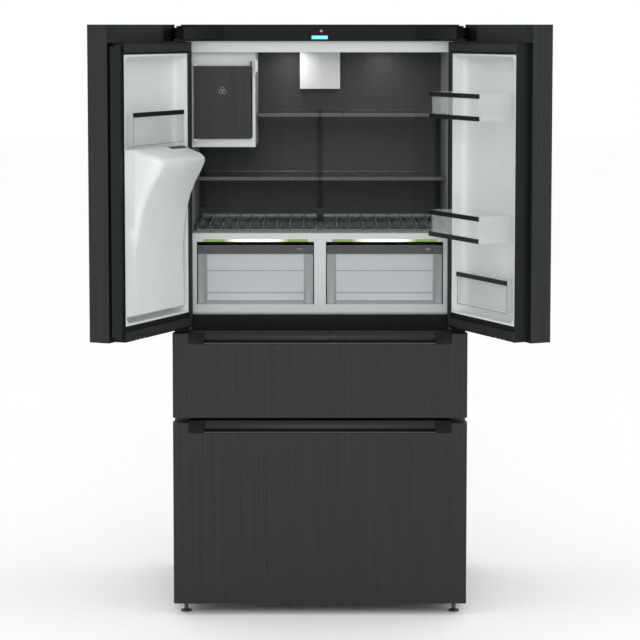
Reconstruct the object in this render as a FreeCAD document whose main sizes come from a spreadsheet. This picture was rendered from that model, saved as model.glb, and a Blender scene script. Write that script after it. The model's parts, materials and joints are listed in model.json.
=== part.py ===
"""Refrigerator: two hinged upper doors, a middle drawer and a freezer drawer, in millimetres.

Every sub-part is drawn in a working frame: x is 0 on the middle line, y is 0 on the front face of
the closed doors and drawers and grows towards the wall, and z is 0 on the floor.  The doors are drawn
closed and stand open by their placement.  The last step moves everything back by `setback`, which
puts the origin under the middle of the whole footprint.
"""
import FreeCAD, Part
import math
import os
import re
import Sketcher

DIMENSIONS = [
    # cabinet
    ("case_width", 910, "outside width of the cabinet"),
    ("total_height", 1830, "height of the door tops and the control strip"),
    ("strip_height", 51, "control strip, above the cabinet's top sheet"),
    ("roof_wall", 34, "insulated roof over the fresh food space"),
    ("ground_gap", 37, "space under the cabinet"),
    ("seal_depth", 8, "space for the gasket between a closed door and the cabinet"),
    ("case_back", 740, "rear sheet, measured from the closed door faces"),
    ("steel_wall", 1.5, "sheet steel"),
    ("side_wall", 56, "insulated side wall"),
    ("liner_wall", 2, "plastic liner"),
    ("seam", 0.3, "gap between pieces that are assembled against each other"),
    ("running_gap", 3, "gap round pieces that slide or turn"),
    ("pin_fit", 0.08, "radial clearance of a pin in its hole"),
    ("past", 1, "how far a cutting shape passes the piece that it cuts"),
    ("lip", 21, "turned-up edge of the base tray"),
    ("ear_half", 20, "half the width of a foot's ear"),
    ("ear_nose", 18, "foot's ear, in front of its stem"),
    ("ear_root", 60, "foot's ear, behind the front flange"),
    ("ear_sheet", 5, "thickness of a foot's ear"),
    ("ear_drop", 6, "foot's ear, below the cabinet"),
    # compartments
    ("fridge_floor", 931, "floor of the fresh food space"),
    ("fridge_depth", 685, "rear wall of the liner"),
    ("duct_face", 623, "front of the rear air duct panel"),
    ("duct_sheet", 4, "rear air duct panel"),
    ("middle_floor", 640, "floor of the middle drawer space"),
    ("middle_roof", 835, "roof of the middle drawer space"),
    ("drawer_depth", 660, "rear wall of both drawer spaces"),
    ("freezer_floor", 75, "floor of the freezer"),
    ("freezer_roof", 575, "roof of the freezer"),
    ("machine_front", 520, "front wall of the machine space"),
    ("machine_roof", 280, "roof of the machine space"),
    ("machine_wall", 20, "insulation round the machine space"),
    ("crossbar_depth", 30, "bars between the compartments"),
    # control strip and hinges
    ("strip_gap", 5, "control strip, behind the band along the top of a closed door"),
    ("strip_depth", 92, "depth of the control strip housing"),
    ("strip_inset", 26, "control strip, in from the side of the cabinet"),
    ("pivot_inset", 19.2, "hinge pin, in from the side of the cabinet"),
    ("pivot_depth", 73.7, "hinge pin, back from the door faces"),
    ("pin_radius", 6, "hinge pin"),
    ("pin_reach", 24, "how far a hinge pin enters its door"),
    ("hinge_plate", 5, "hinge bracket plate"),
    ("plate_reach", 66, "upper hinge plate, from the pin towards the middle"),
    ("plate_side", 8, "upper hinge plate, from the pin towards the side"),
    ("plate_front", 20, "upper hinge plate, in front of the cabinet's flange"),
    ("plate_back", 70, "upper hinge plate, behind the cabinet's flange"),
    ("arm_root", 60, "hinge arm, from the pin towards the middle, where it leaves the plate"),
    ("arm_half", 10, "half the width of a hinge arm at its pin"),
    ("arm_lap", 12, "how far a hinge arm stays in front of the cabinet's flange"),
    ("shelf_inner", 24, "lower hinge plate, from the pin towards the middle"),
    ("shelf_outer", 15, "lower hinge plate, from the pin towards the side"),
    ("shelf_nose", 16, "lower hinge plate, in front of the pin"),
    ("leg_height", 36, "leg of the lower hinge"),
    ("cover_reach", 142, "hinge cover, from the pin towards the middle"),
    ("cover_height", 36, "hinge cover"),
    ("cover_nose", 18, "hinge cover round the pin"),
    ("cover_neck", 16, "start of the cover's curve, from the pin towards the middle"),
    ("neck_front", 14, "start of the cover's curve, in front of the pin"),
    ("cover_side", 9, "hinge cover, from the pin towards the side"),
    ("moon_radius", 320, "curve of the hinge cover"),
    ("open_angle", 114.5, "door angle at rest"),
    # doors
    ("door_gap", 3, "gap between the two doors"),
    ("door_inset", 0.5, "door edge, in from the side of the cabinet"),
    ("door_bottom", 894, "bottom of the doors"),
    ("skin_depth", 68, "depth of a door's steel skin"),
    ("groove", 7, "dark groove behind the skin"),
    ("groove_inset", 5, "groove, up from the bottom of a door"),
    ("body_inset", 2, "inner body, up from the bottom of a door"),
    ("inner_depth", 110, "inner face of a door"),
    ("band_height", 53, "thinner band at the top of a door"),
    ("band_depth", 94, "rear face of that band"),
    ("pocket_reach", 135.8, "hinge pocket, from the pin towards the middle"),
    ("pocket_height", 51.5, "hinge pocket"),
    ("pocket_front", 52, "front wall of the hinge pocket"),
    ("mullion_room", 22.5, "step in the free edge of the inner body"),
    ("liner_free", 26, "liner window, in from the free edge"),
    ("liner_hinge", 28, "liner window, in from the hinge edge"),
    ("liner_bottom", 943, "bottom of the liner window"),
    ("liner_drop", 3, "top of the liner window, below the roof of the fresh food space"),
    ("liner_recess", 45, "depth of the liner window"),
    ("gasket_width", 8.5, "door gasket"),
    ("gasket_lap", 4, "door gasket's inner edge, outside the fresh food opening"),
    ("gasket_foot", 8, "door gasket, up from the bottom of a door"),
    ("gasket_head", 5, "door gasket, below the top band"),
    # mullion bar
    ("mullion_width", 32, "bar that closes the middle gap"),
    ("mullion_depth", 18, "bar that closes the middle gap"),
    ("mullion_round", 2, "rounded edges of the bar"),
    ("mullion_side", 3, "folded bar, from the middle line"),
    ("mullion_pivot", 10, "its pivot, from the middle line"),
    ("mullion_front", 76, "front edge of the folded bar"),
    ("mullion_pin_depth", 102, "its pivot, back from the door faces"),
    ("mullion_overlap", 20, "how far the bar passes the fridge opening at each end"),
    ("mullion_ear", 6, "lug at each end of the bar"),
    ("mullion_ear_nose", 8, "lug, in front of the pivot"),
    ("mullion_ear_end", 4, "lug, from the middle line"),
    ("small_pin", 3, "pins of the mullion bar and the paddle"),
    # door bins
    ("bin_wall", 2.5, "clear bins"),
    ("bin_free", 103, "right door bins, in from the free edge"),
    ("bin_reach", 96, "how far the two clear bins stand out"),
    ("bin_height", 80, "clear bins"),
    ("upper_bin", 1547, "bottom of the upper bin"),
    ("middle_bin", 1187, "bottom of the middle bin"),
    ("lower_bin", 974, "bottom of the lower bin"),
    ("left_bin", 1471.5, "bottom of the left door's bin"),
    ("right_bin_inset", 52, "right door's flush bin, in from its liner window"),
    ("left_bin_inset", 60, "left door's flush bin, in from its liner window"),
    ("flush_bin_height", 99, "bins set into a door"),
    ("flush_bin_width", 316, "bins set into a door"),
    ("rim_height", 14, "dark strip along a bin"),
    ("rim_depth", 4, "dark strip along a bin"),
    # dispenser
    ("shroud_free", 86, "dispenser shroud, in from the free edge"),
    ("shroud_top", 1462, "top of the shroud at the door"),
    ("shroud_lip", 1440, "top of the shroud at its nose"),
    ("shroud_nose", 1418, "height where the shroud stands out furthest"),
    ("shroud_foot", 1178, "bottom of the shroud"),
    ("shroud_reach", 84, "how far the shroud stands out"),
    ("shroud_brow", 16, "top of the nose, back from where it stands out furthest"),
    ("shroud_wall", 4, "dispenser shroud"),
    ("shroud_sole", 12, "closed bottom of the shroud"),
    ("chute_inset", 40, "ice chute's slot, in from the end of the shroud"),
    ("chute_width", 70, "ice chute's slot"),
    ("chute_front", 14, "ice chute's slot, out from the door's inner face"),
    ("chute_length", 32, "ice chute's slot"),
    ("chute_drop", 30, "ice chute's slot, below the nose"),
    ("alcove_middle", 245, "middle of the dispenser alcove, from the middle line"),
    ("alcove_width", 200, "dispenser alcove"),
    ("alcove_bottom", 1150, "dispenser alcove"),
    ("alcove_height", 330, "dispenser alcove"),
    ("alcove_depth", 54, "dispenser alcove"),
    ("alcove_wall", 2.5, "dispenser alcove"),
    ("alcove_set", 6, "dispenser head and grille, behind the door's face"),
    ("head_half", 45, "half the width of the dispenser head"),
    ("head_drop", 26, "underside of the dispenser head, below the top of the alcove"),
    ("spout_radius", 9, "water spout"),
    ("spout_depth", 26, "water spout, behind the door's face"),
    ("spout_drop", 42, "end of the water spout, below the top of the alcove"),
    ("grille_half", 80, "half the width of the drip grille"),
    ("grille_height", 6, "drip grille"),
    ("grille_slots", 13, "slots in the drip grille"),
    ("grille_pitch", 12, "slots in the drip grille"),
    ("grille_edge", 6, "drip grille, left round its slots"),
    ("paddle_width", 70, "dispenser paddle"),
    ("paddle_height", 120, "dispenser paddle"),
    ("paddle_sheet", 3, "dispenser paddle"),
    ("paddle_round", 12, "rounded corners of the paddle"),
    ("paddle_depth", 40, "paddle's axle, behind the door's face"),
    ("axle_drop", 14, "paddle's axle, below the top of the paddle"),
    ("paddle_ear", 4, "thickness of the paddle's ears"),
    ("ear_spread", 40, "paddle's ears, from its middle"),
    # shelves
    ("shelf_clear", 34, "front edge of the glass shelves, behind the bins of a closed door"),
    ("shelf_back", 606, "rear edge of the glass shelves"),
    ("glass", 4, "shelf glass"),
    ("pane_gap", 2, "glass panes, from the middle line and from the side walls"),
    ("pane_front", 6, "glass pane, behind the front of its trim"),
    ("ice_clear", 4, "upper left pane, from the ice maker"),
    ("trim_depth", 12, "shelf trim"),
    ("trim_drop", 3, "shelf trim, below the glass"),
    ("trim_rise", 4, "shelf trim, above the glass"),
    ("upper_shelf", 1544, "underside of the upper shelf"),
    ("lower_shelf", 1343, "underside of the lower shelf"),
    ("rail_width", 18, "slotted shelf rail"),
    ("rail_depth", 10, "slotted shelf rail"),
    ("rail_bottom", 1228, "slotted shelf rail"),
    ("rail_top", 1552, "slotted shelf rail"),
    ("rail_slots", 12, "slots in a rail"),
    ("slot_pitch", 25, "slots in a rail"),
    ("slot_height", 12, "slots in a rail"),
    ("slot_half", 2, "half the width of a slot"),
    ("slot_depth", 5, "slots in a rail"),
    ("bracket_height", 20, "shelf bracket at the rail"),
    ("bracket_nose", 6, "shelf bracket at its front end"),
    ("bracket_start", 30, "shelf bracket, behind the front of the shelf"),
    ("bracket_width", 6, "shelf bracket"),
    ("rack_clear", 8, "front edge of the bottle racks, behind the bins of a closed door"),
    ("rack_height", 24, "bottle racks"),
    ("rack_margin", 10, "bottle racks, from the middle line and from the side walls"),
    ("rack_hollow", 42, "least width of one hollow in a rack"),
    ("rack_wall", 3, "bottle racks"),
    # ice maker and filter
    ("ice_right", 201, "right side of the ice maker, from the middle line"),
    ("ice_bottom", 1450, "underside of the ice maker"),
    ("ice_room", 32, "front of the ice maker, behind the front flange"),
    ("ice_depth", 330, "ice maker"),
    ("ice_wall", 9, "ice maker walls"),
    ("ice_frame", 6, "framed front of the ice maker"),
    ("ice_door_depth", 12, "ice maker door"),
    ("ice_door_bottom", 1476, "ice maker door"),
    ("ice_door_top", 1702, "ice maker door"),
    ("ice_door_lap", 2, "ice maker door, over the housing's edge at its hinge and its ends"),
    ("ice_door_gap", 1, "ice maker door, in front of its housing"),
    ("ice_pin_inset", 2.2, "ice door pin, in from the edge of the door"),
    ("ice_pin", 1.5, "ice door pin"),
    ("ice_pin_reach", 7, "ice door pin, past the door"),
    ("ice_lug_height", 9, "lugs that hold the ice door's pin"),
    ("ice_lug_side", 5, "those lugs, outside the pin"),
    ("ice_lug_reach", 9, "those lugs, inside the pin"),
    ("ice_tab", 4, "pull tab of the ice door"),
    ("ice_tab_room", 5, "room for the tab beside its door"),
    ("ice_tab_lap", 1, "pull tab, over the edge of its door"),
    ("ice_tab_drop", 38, "pull tab, below the top of its door"),
    ("ice_tab_rise", 15, "pull tab, above the top of its door"),
    ("ice_bin_front", 10, "ice bin, behind the front of the ice maker"),
    ("ice_bin_back", 40, "room for the ice tray behind the ice bin"),
    ("ice_bin_top", 170, "top of the ice bin, above the underside of the ice maker"),
    ("filter_width", 131, "water filter housing"),
    ("filter_bottom", 1620, "water filter housing"),
    ("filter_depth", 60, "water filter housing"),
    # crispers
    ("crisper_room", 22, "front of the crisper frame, behind the front flange"),
    ("crisper_top", 1181, "top of the crisper frame"),
    ("crisper_depth", 460, "crisper frame"),
    ("opening_bottom", 958, "crisper openings"),
    ("opening_top", 1154, "crisper openings"),
    ("divider", 37, "crisper divider"),
    ("crisper_side", 14, "sides of the crisper frame at its front"),
    ("crisper_rim", 22, "depth of the crisper frame's thick front"),
    ("crisper_skin", 4, "sides and floor of the crisper frame behind its front"),
    ("crisper_roof", 6, "top of the crisper frame"),
    ("crisper_wall", 3, "crisper boxes"),
    ("crisper_set", 4, "crisper boxes, behind the front of their frame"),
    ("crisper_end", 12, "crisper boxes, in front of the rear of their frame"),
    ("trim_height", 27, "dark strip on a crisper"),
    ("trim_clear", 11, "space over that strip"),
    ("trim_proud", 2, "dark strip, in front of the crisper frame"),
    ("strip_thick", 18, "depth of the dark strip on a crisper"),
    ("pull_inset", 30, "finger pull behind the strip, in from its ends"),
    ("pull_lip", 6, "strip left above the finger pull"),
    ("light_height", 8, "light strip over a crisper"),
    ("light_depth", 10, "groove of the light strip"),
    ("light_inset", 20, "light strip, in from the ends of its opening"),
    # drawers
    ("middle_bottom", 621, "bottom of the middle drawer front"),
    ("middle_ends", 882, "top of the middle drawer front at its ends"),
    ("freezer_ends", 605, "top of the freezer drawer front at its ends"),
    ("front_depth", 50, "steel part of a drawer front"),
    ("drawer_seal", 10, "space for the gasket between a drawer front and the cabinet"),
    ("core_inset", 14, "core of a drawer front, in from the side of the cabinet"),
    ("core_rise", 4, "core of a drawer front, above its bottom edge"),
    ("recess_wall", 8, "wall behind the handle recess, in front of the steel's rear"),
    ("recess_lip", 3, "that wall, in front of the core's inner face"),
    ("recess_drop", 32, "handle recess, down from the end tops"),
    ("recess_half", 406, "half the width of the handle recess"),
    ("handle_rise", 7, "handle top, above the end tops"),
    ("grip_half", 358, "half the length of the grip"),
    ("grip_height", 25, "grip bar"),
    ("grip_depth", 20, "grip bar"),
    ("grip_front", 3, "top edge of the grip, behind the drawer's face"),
    ("grip_foot", 6, "bottom edge of the grip, behind the drawer's face"),
    ("grip_hollow", 26, "radius of the grip's hollow face"),
    ("end_front", 1.5, "end blocks of a grip, behind the drawer's face"),
    ("edge_round", 5, "rounded edges of the fronts"),
    ("seal_outer", 14, "drawer gasket's outer edge, outside the opening"),
    ("seal_rise", 11, "drawer gasket's outer edge, above and below the opening"),
    ("seal_inner", 2, "drawer gasket's inner edge, outside the opening"),
    ("box_wall", 3, "drawer boxes"),
    ("box_lift", 10, "drawer boxes, above the floor of their space"),
    ("middle_room", 25, "room behind the middle drawer's box"),
    ("freezer_room", 40, "room behind the freezer drawer's box"),
    ("middle_box", 130, "height of the middle drawer box"),
    ("freezer_box", 420, "height of the freezer drawer box"),
    ("runner_width", 12, "drawer runners"),
    ("runner_height", 14, "drawer runners"),
    ("runner_front", 12, "drawer runners, behind the front flange"),
    # underneath and behind
    ("foot_inset", 36, "levelling foot, in from the side of the cabinet"),
    ("foot_depth", 60, "levelling foot, back from the door faces"),
    ("foot_radius", 17, "pad of a levelling foot"),
    ("foot_edge", 1, "bevel round the pad"),
    ("foot_slope", 3, "sloping top of the pad"),
    ("foot_pad", 8, "pad of a levelling foot"),
    ("stem_radius", 6.5, "stem of a levelling foot"),
    ("roller_radius", 22, "rear rollers"),
    ("roller_width", 24, "rear rollers"),
    ("roller_inset", 60, "rear rollers, in from the side of the cabinet"),
    ("roller_back", 50, "axle of the rear rollers, in front of the rear sheet"),
    ("roller_ear", 3, "ears that hold the axle"),
    ("roller_ear_half", 12, "half the length of those ears"),
    ("roller_ear_drop", 9, "bottom of those ears, below the axle"),
    ("axle_radius", 4, "axle of the rear rollers"),
    ("axle_inset", 50, "ends of the axle, in from the side of the cabinet"),
    ("inlet_reach", 18, "water connection, behind the rear sheet"),
    ("inlet_radius", 13.2, "water connection"),
    ("inlet_across", 200, "water connection, right of the middle line"),
    ("inlet_height", 330, "water connection"),
    ("nut_rim", 6, "nut of the water connection, wider and as thick"),
    ("socket_middle", 300, "mains inlet, left of the middle line"),
    ("socket_width", 60, "mains inlet"),
    ("socket_bottom", 305, "mains inlet"),
    ("socket_height", 40, "mains inlet"),
    # evaporator, behind the duct panel
    ("coil_fin", 1.5, "evaporator fins"),
    ("coil_fins", 26, "evaporator fins"),
    ("coil_pitch", 12, "evaporator fins"),
    ("coil_bottom", 1010, "evaporator"),
    ("coil_height", 150, "evaporator"),
    ("coil_tube", 5, "evaporator tubes"),
    ("coil_tubes", 5, "evaporator tubes"),
    ("coil_rise", 28, "evaporator tubes, one above the other"),
    ("coil_first", 20, "first tube, above the bottom of the evaporator"),
    ("coil_depth", 28, "evaporator tubes, behind the duct panel"),
    ("coil_end", 6, "evaporator tubes, past the end fins"),
    # machine space
    ("compressor_across", 250, "compressor, left of the middle line"),
    ("compressor_back", 108, "compressor, in front of the rear sheet"),
    ("compressor_radius", 75, "compressor"),
    ("compressor_height", 148, "compressor"),
    ("compressor_foot", 15, "base plate and rubber mounts under the compressor"),
    ("mount_height", 12, "rubber mounts"),
    ("mount_radius", 10, "rubber mounts"),
    ("mount_across", 62, "rubber mounts, from the compressor's middle"),
    ("mount_deep", 55, "rubber mounts, from the compressor's middle"),
    ("plate_across", 78, "half the width of the base plate"),
    ("plate_deep", 71, "half the depth of the base plate"),
    ("unit_front", 190, "condenser and its fan, in front of the rear sheet"),
    ("unit_back", 30, "condenser and its fan, in front of the rear sheet"),
    ("condenser_left", 120, "first condenser fin, right of the middle line"),
    ("condenser_fins", 20, "condenser fins"),
    ("condenser_pitch", 8, "condenser fins"),
    ("condenser_fin", 1.2, "condenser fins"),
    ("condenser_height", 170, "condenser"),
    ("condenser_tube", 4, "condenser tubes"),
    ("condenser_layers", 5, "condenser tubes, one above the other"),
    ("condenser_rise", 30, "condenser tubes, one above the other"),
    ("condenser_first", 25, "lowest condenser tube"),
    ("condenser_rows", 3, "condenser tubes, one behind the other"),
    ("condenser_row", 55, "condenser tubes, one behind the other"),
    ("condenser_row_front", 165, "first row of tubes, in front of the rear sheet"),
    ("condenser_end", 6, "condenser tubes, past the end fins"),
    ("shroud_left", 62, "fan shroud, right of the middle line"),
    ("shroud_depth", 38, "fan shroud"),
    ("shroud_height", 160, "fan shroud"),
    ("shroud_sheet", 4, "fan shroud"),
    ("strut_half", 4, "half the height of the strut that holds the fan's motor"),
    ("fan_radius", 68, "fans"),
    ("fan_length", 18, "fan hub"),
    ("hub_radius", 14, "fan hub"),
    ("motor_radius", 20, "fan motors"),
    ("fan_start", 72, "condenser fan, right of the middle line"),
    ("fan_rise", 80, "condenser fan, above the base tray"),
    ("fan_gap", 14, "evaporator fan, behind the front of the duct panel"),
    ("cold_fan_height", 1290, "evaporator fan"),
    ("blade_width", 24, "fan blades"),
    ("blade_sheet", 2, "fan blades"),
    ("blade_start", 10, "fan blades, from the axis"),
    ("blade_tilt", 25, "angle of the blades"),
    ("blade_count", 6, "blades of a fan"),
    ("pan_left", 292, "drain pan, right of the middle line"),
    ("pan_width", 70, "drain pan"),
    ("pan_height", 40, "drain pan"),
    ("pan_wall", 2, "drain pan"),
    ("pan_front", 10, "drain pan, behind the front of the machine space"),
    ("pan_back", 40, "drain pan, in front of the rear sheet"),
]

# Sizes that follow from others, written in full wherever an expression names them.
WORKED_OUT = {
    "case_top": "(total_height - strip_height)",
    "fridge_roof": "(case_top - roof_wall)",
    "liner_top": "(fridge_roof - liner_drop)",
    "case_front": "(inner_depth + seal_depth)",
    "strip_front": "(band_depth + strip_gap)",
    "core_depth": "(case_front - drawer_seal)",
    "crisper_front": "(case_front + crisper_room)",
    "ice_front": "(case_front + ice_room)",
    "rack_front": "(inner_depth + bin_reach + rack_clear)",
    "shelf_front": "(inner_depth + bin_reach + shelf_clear)",
    "case_half": "(case_width / 2)",
    "inner_half": "(case_half - side_wall)",
    "free_edge": "(door_gap / 2)",
    "hinge_edge": "(case_half - door_inset)",
    "pivot_across": "(case_half - pivot_inset)",
    "body_top": "(total_height - band_height)",
    "floor_sheet": "(ground_gap + steel_wall)",
    "liner_floor": "(inner_depth - liner_recess + liner_wall + 2 * seam)",
    "mullion_bottom": "(fridge_floor - mullion_overlap)",
    "mullion_top": "(fridge_roof + mullion_overlap)",
    "bench": "(floor_sheet + seam)",
}

ROOT = []
LEFT = []
RIGHT = []

doc = FreeCAD.newDocument("refrigerator")
sheet = doc.addObject("Spreadsheet::Sheet", "dims")
for row, (alias, number, meaning) in enumerate(DIMENSIONS, start=1):
    sheet.set(f"A{row}", meaning)
    sheet.set(f"B{row}", str(number))
    sheet.setAlias(f"B{row}", alias)
size = {alias: number for alias, number, meaning in DIMENSIONS}
doc.recompute()


def linked(text):
    """The expression with worked-out names in full and each dimension's name pointed at the sheet."""
    def full(found):
        name = found[0]
        if name in WORKED_OUT:
            return linked(WORKED_OUT[name])
        return "dims." + name if name in size else name
    return re.sub(r"[a-z_]+", full, text)


def number(text):
    """What an expression comes to now."""
    return float(sheet.evalExpression(linked(text)))


def bind(item, path, text):
    item.setExpression(path, linked(text))


def side(sign, low, high):
    """A span of x on the right (sign 1), or its mirror image on the left (sign -1)."""
    if sign > 0:
        return (low, high)
    return (f"-({high})", f"-({low})")


def at(sign, value):
    """One x on the right, or its mirror image on the left."""
    if sign > 0:
        return value
    return f"-({value})"


def block(label, across, deep, tall):
    """A box from three pairs of expressions: x, y and z, each (low, high)."""
    item = doc.addObject("Part::Box", label)
    for prop, axis, span in zip(("Length", "Width", "Height"), "xyz", (across, deep, tall)):
        bind(item, prop, f"({span[1]}) - ({span[0]})")
        bind(item, f".Placement.Base.{axis}", span[0])
    return item


TURNS = {"x": FreeCAD.Rotation(FreeCAD.Vector(0, 1, 0), 90),
         "y": FreeCAD.Rotation(FreeCAD.Vector(1, 0, 0), -90),
         "z": FreeCAD.Rotation()}


def rod(label, axis, start, radius, length):
    """A cylinder that grows along +x, +y or +z from its start point (three expressions)."""
    item = doc.addObject("Part::Cylinder", label)
    item.Placement = FreeCAD.Placement(FreeCAD.Vector(), TURNS[axis])
    bind(item, "Radius", radius)
    bind(item, "Height", length)
    for name, text in zip("xyz", start):
        bind(item, f".Placement.Base.{name}", text)
    return item


def fuse(label, pieces):
    if len(pieces) == 1:
        return pieces[0]
    item = doc.addObject("Part::MultiFuse", label)
    item.Shapes = pieces
    return item


def cut(label, base, tools):
    item = doc.addObject("Part::Cut", label)
    item.Base = base
    item.Tool = fuse(label + "_tools", tools)
    return item


def group(label, pieces):
    """Separate solids that share one node."""
    item = doc.addObject("Part::Compound", label)
    item.Links = pieces
    return item


def tray(label, across, deep, tall, wall, open_side):
    """A box with walls all round and one open side: front, back or top."""
    hollow_deep = [f"({deep[0]}) + {wall}", f"({deep[1]}) - {wall}"]
    hollow_tall = [f"({tall[0]}) + {wall}", f"({tall[1]}) - {wall}"]
    if open_side == "front":
        hollow_deep[0] = f"({deep[0]}) - {wall}"
    if open_side == "back":
        hollow_deep[1] = f"({deep[1]}) + {wall}"
    if open_side == "top":
        hollow_tall[1] = f"({tall[1]}) + {wall}"
    hollow = block(label + "_hollow", (f"({across[0]}) + {wall}", f"({across[1]}) - {wall}"),
                   hollow_deep, hollow_tall)
    return cut(label, block(label + "_outside", across, deep, tall), [hollow])


def origin_plane(body, role):
    return [item for item in body.Origin.OriginFeatures if item.Role == role][0]


def draw(sketch, points):
    """Close an outline through the points.  A point is (u, v), or (u, v, radius) where the run that
    starts there is an arc; a positive radius bulges to the right of the run, a negative one left."""
    spots = [FreeCAD.Vector(number(point[0]), number(point[1]), 0) for point in points]
    ends = []
    for index, point in enumerate(points):
        start, finish = spots[index], spots[(index + 1) % len(spots)]
        if len(point) == 2:
            sketch.addGeometry(Part.LineSegment(start, finish))
            ends.append((1, 2))
            continue
        radius = number(point[2])
        chord = finish.sub(start)
        rise = abs(radius) - math.sqrt(radius ** 2 - chord.Length ** 2 / 4)
        outward = FreeCAD.Vector(chord.y, -chord.x, 0).normalize()
        bulge = outward.multiply(math.copysign(rise, radius))
        crown = start.add(finish).multiply(0.5).add(bulge)
        sketch.addGeometry(Part.Arc(start, crown, finish))
        ends.append((1, 2) if radius > 0 else (2, 1))
    for index in range(len(points)):
        after = (index + 1) % len(points)
        sketch.addConstraint(Sketcher.Constraint("Coincident", index, ends[index][1],
                                                 after, ends[after][0]))
    for index, point in enumerate(points):
        for kind, text, value in (("DistanceX", point[0], spots[index].x),
                                  ("DistanceY", point[1], spots[index].y)):
            place = sketch.addConstraint(Sketcher.Constraint(kind, -1, 1, index, ends[index][0], value))
            bind(sketch, f"Constraints[{place}]", text)
        if len(point) == 3:
            radius = abs(number(point[2]))
            place = sketch.addConstraint(Sketcher.Constraint("Radius", index, radius))
            bind(sketch, f"Constraints[{place}]", f"abs({point[2]})")


def padded(label, role, points, low, high):
    """A PartDesign body: one outline on an origin plane, padded from low to high.  The outline is in
    (x, y) on XY_Plane, (x, z) on XZ_Plane and (y, z) on YZ_Plane."""
    body = doc.addObject("PartDesign::Body", label)
    sketch = body.newObject("Sketcher::SketchObject", label + "_outline")
    sketch.AttachmentSupport = [(origin_plane(body, role), "")]
    sketch.MapMode = "FlatFace"
    offset = f"-({high})" if role == "XZ_Plane" else low
    bind(sketch, ".AttachmentOffset.Base.z", offset)
    draw(sketch, points)
    pad = body.newObject("PartDesign::Pad", label + "_pad")
    pad.Profile = sketch
    bind(pad, "Length", f"({high}) - ({low})")
    return body


def rounded(body, chosen, radius):
    """Fillet the edges of a body's last feature that the test picks."""
    doc.recompute()
    base = body.Tip
    names = [f"Edge{place}" for place, edge in enumerate(base.Shape.Edges, start=1) if chosen(edge)]
    fillet = body.newObject("PartDesign::Fillet", body.Label + "_fillet")
    fillet.Base = (base, names)
    bind(fillet, "Radius", radius)
    return body


def revolved(label, points, place):
    """A PartDesign body: an outline in (radius, height) turned about z, then moved to its place."""
    body = doc.addObject("PartDesign::Body", label)
    sketch = body.newObject("Sketcher::SketchObject", label + "_outline")
    sketch.AttachmentSupport = [(origin_plane(body, "XZ_Plane"), "")]
    sketch.MapMode = "FlatFace"
    draw(sketch, points)
    turn = body.newObject("PartDesign::Revolution", label + "_turn")
    turn.Profile = sketch
    turn.ReferenceAxis = (sketch, ["V_Axis"])
    turn.Angle = 360
    for name, text in zip("xyz", place):
        bind(body, f".Placement.Base.{name}", text)
    return body


def runs_along(edge, axis):
    """True where a straight edge is parallel to x, y or z."""
    box = edge.BoundBox
    spans = {"x": box.XLength, "y": box.YLength, "z": box.ZLength}
    return spans.pop(axis) > 1 and max(spans.values()) < 0.01

# ---------------------------------------------------------------- cabinet

def make_cabinet():
    opening = block("opening", ("-inner_half", "inner_half"),
                    ("case_front - past", "case_front + steel_wall + past"), ("freezer_floor", "fridge_roof"))
    inside = block("shell_inside", ("-(case_half - steel_wall)", "case_half - steel_wall"),
                   ("case_front + steel_wall", "case_back + past"),
                   ("ground_gap - past", "case_top - steel_wall"))
    outside = block("shell_outside", ("-case_half", "case_half"), ("case_front", "case_back"),
                    ("ground_gap", "case_top"))
    ROOT.append(cut("cabinet_shell", outside, [inside, opening]))

    inner_width = ("-(case_half - steel_wall - seam)", "case_half - steel_wall - seam")
    ROOT.append(block("back_panel", inner_width, ("case_back - steel_wall", "case_back"),
                      ("machine_roof", "case_top - steel_wall - seam")))
    make_base_tray(inner_width)

    wide = ("-(inner_half + liner_wall)", "inner_half + liner_wall")
    front = "case_front + steel_wall"
    ROOT.append(tray("fridge_liner", wide, (front, "fridge_depth + liner_wall"),
                     ("fridge_floor - liner_wall", "fridge_roof + liner_wall"), "liner_wall", "front"))
    middle = tray("middle_liner", wide, (front, "drawer_depth + liner_wall"),
                  ("middle_floor - liner_wall", "middle_roof + liner_wall"), "liner_wall", "front")
    freezer = cut("freezer_liner", freezer_profile("freezer_outside", front, "liner_wall"),
                  [freezer_profile("freezer_inside", front, "0")])
    ROOT.append(group("drawer_liners", [middle, freezer]))

    bars = []
    for label, low, high in (("upper_bar", "middle_roof + liner_wall", "fridge_floor - liner_wall"),
                             ("lower_bar", "freezer_roof + liner_wall", "middle_floor - liner_wall")):
        bars.append(block(label, ("-(inner_half - seam)", "inner_half - seam"),
                          ("case_front", "case_front + crossbar_depth"), (f"{low} + seam", f"{high} - seam")))
    ROOT.append(group("front_crossbars", bars))

    grow = "(liner_wall + seam)"
    beside_liner = (f"-(inner_half + {grow})", f"inner_half + {grow}")
    spaces = [freezer_profile("freezer_space", front, grow)]
    for label, low, high, back in (
            ("fridge_space", "fridge_floor", "fridge_roof", "fridge_depth"),
            ("middle_space", "middle_floor", "middle_roof", "drawer_depth")):
        spaces.append(block(label, beside_liner, ("case_front", f"{back} + {grow}"),
                            (f"{low} - {grow}", f"{high} + {grow}")))
    spaces.append(block("bar_space", beside_liner, ("case_front", "case_front + crossbar_depth + seam"),
                        ("freezer_floor", "fridge_roof")))
    spaces.append(block("machine_space", ("-case_half", "case_half"), ("machine_front", "case_back"),
                        ("ground_gap", "machine_roof")))
    core = block("foam_block", inner_width,
                 ("case_front + steel_wall + seam", "case_back - steel_wall - seam"),
                 ("ground_gap + lip + seam", "case_top - steel_wall - seam"))
    ROOT.append(cut("insulation_foam", core, spaces))


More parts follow.
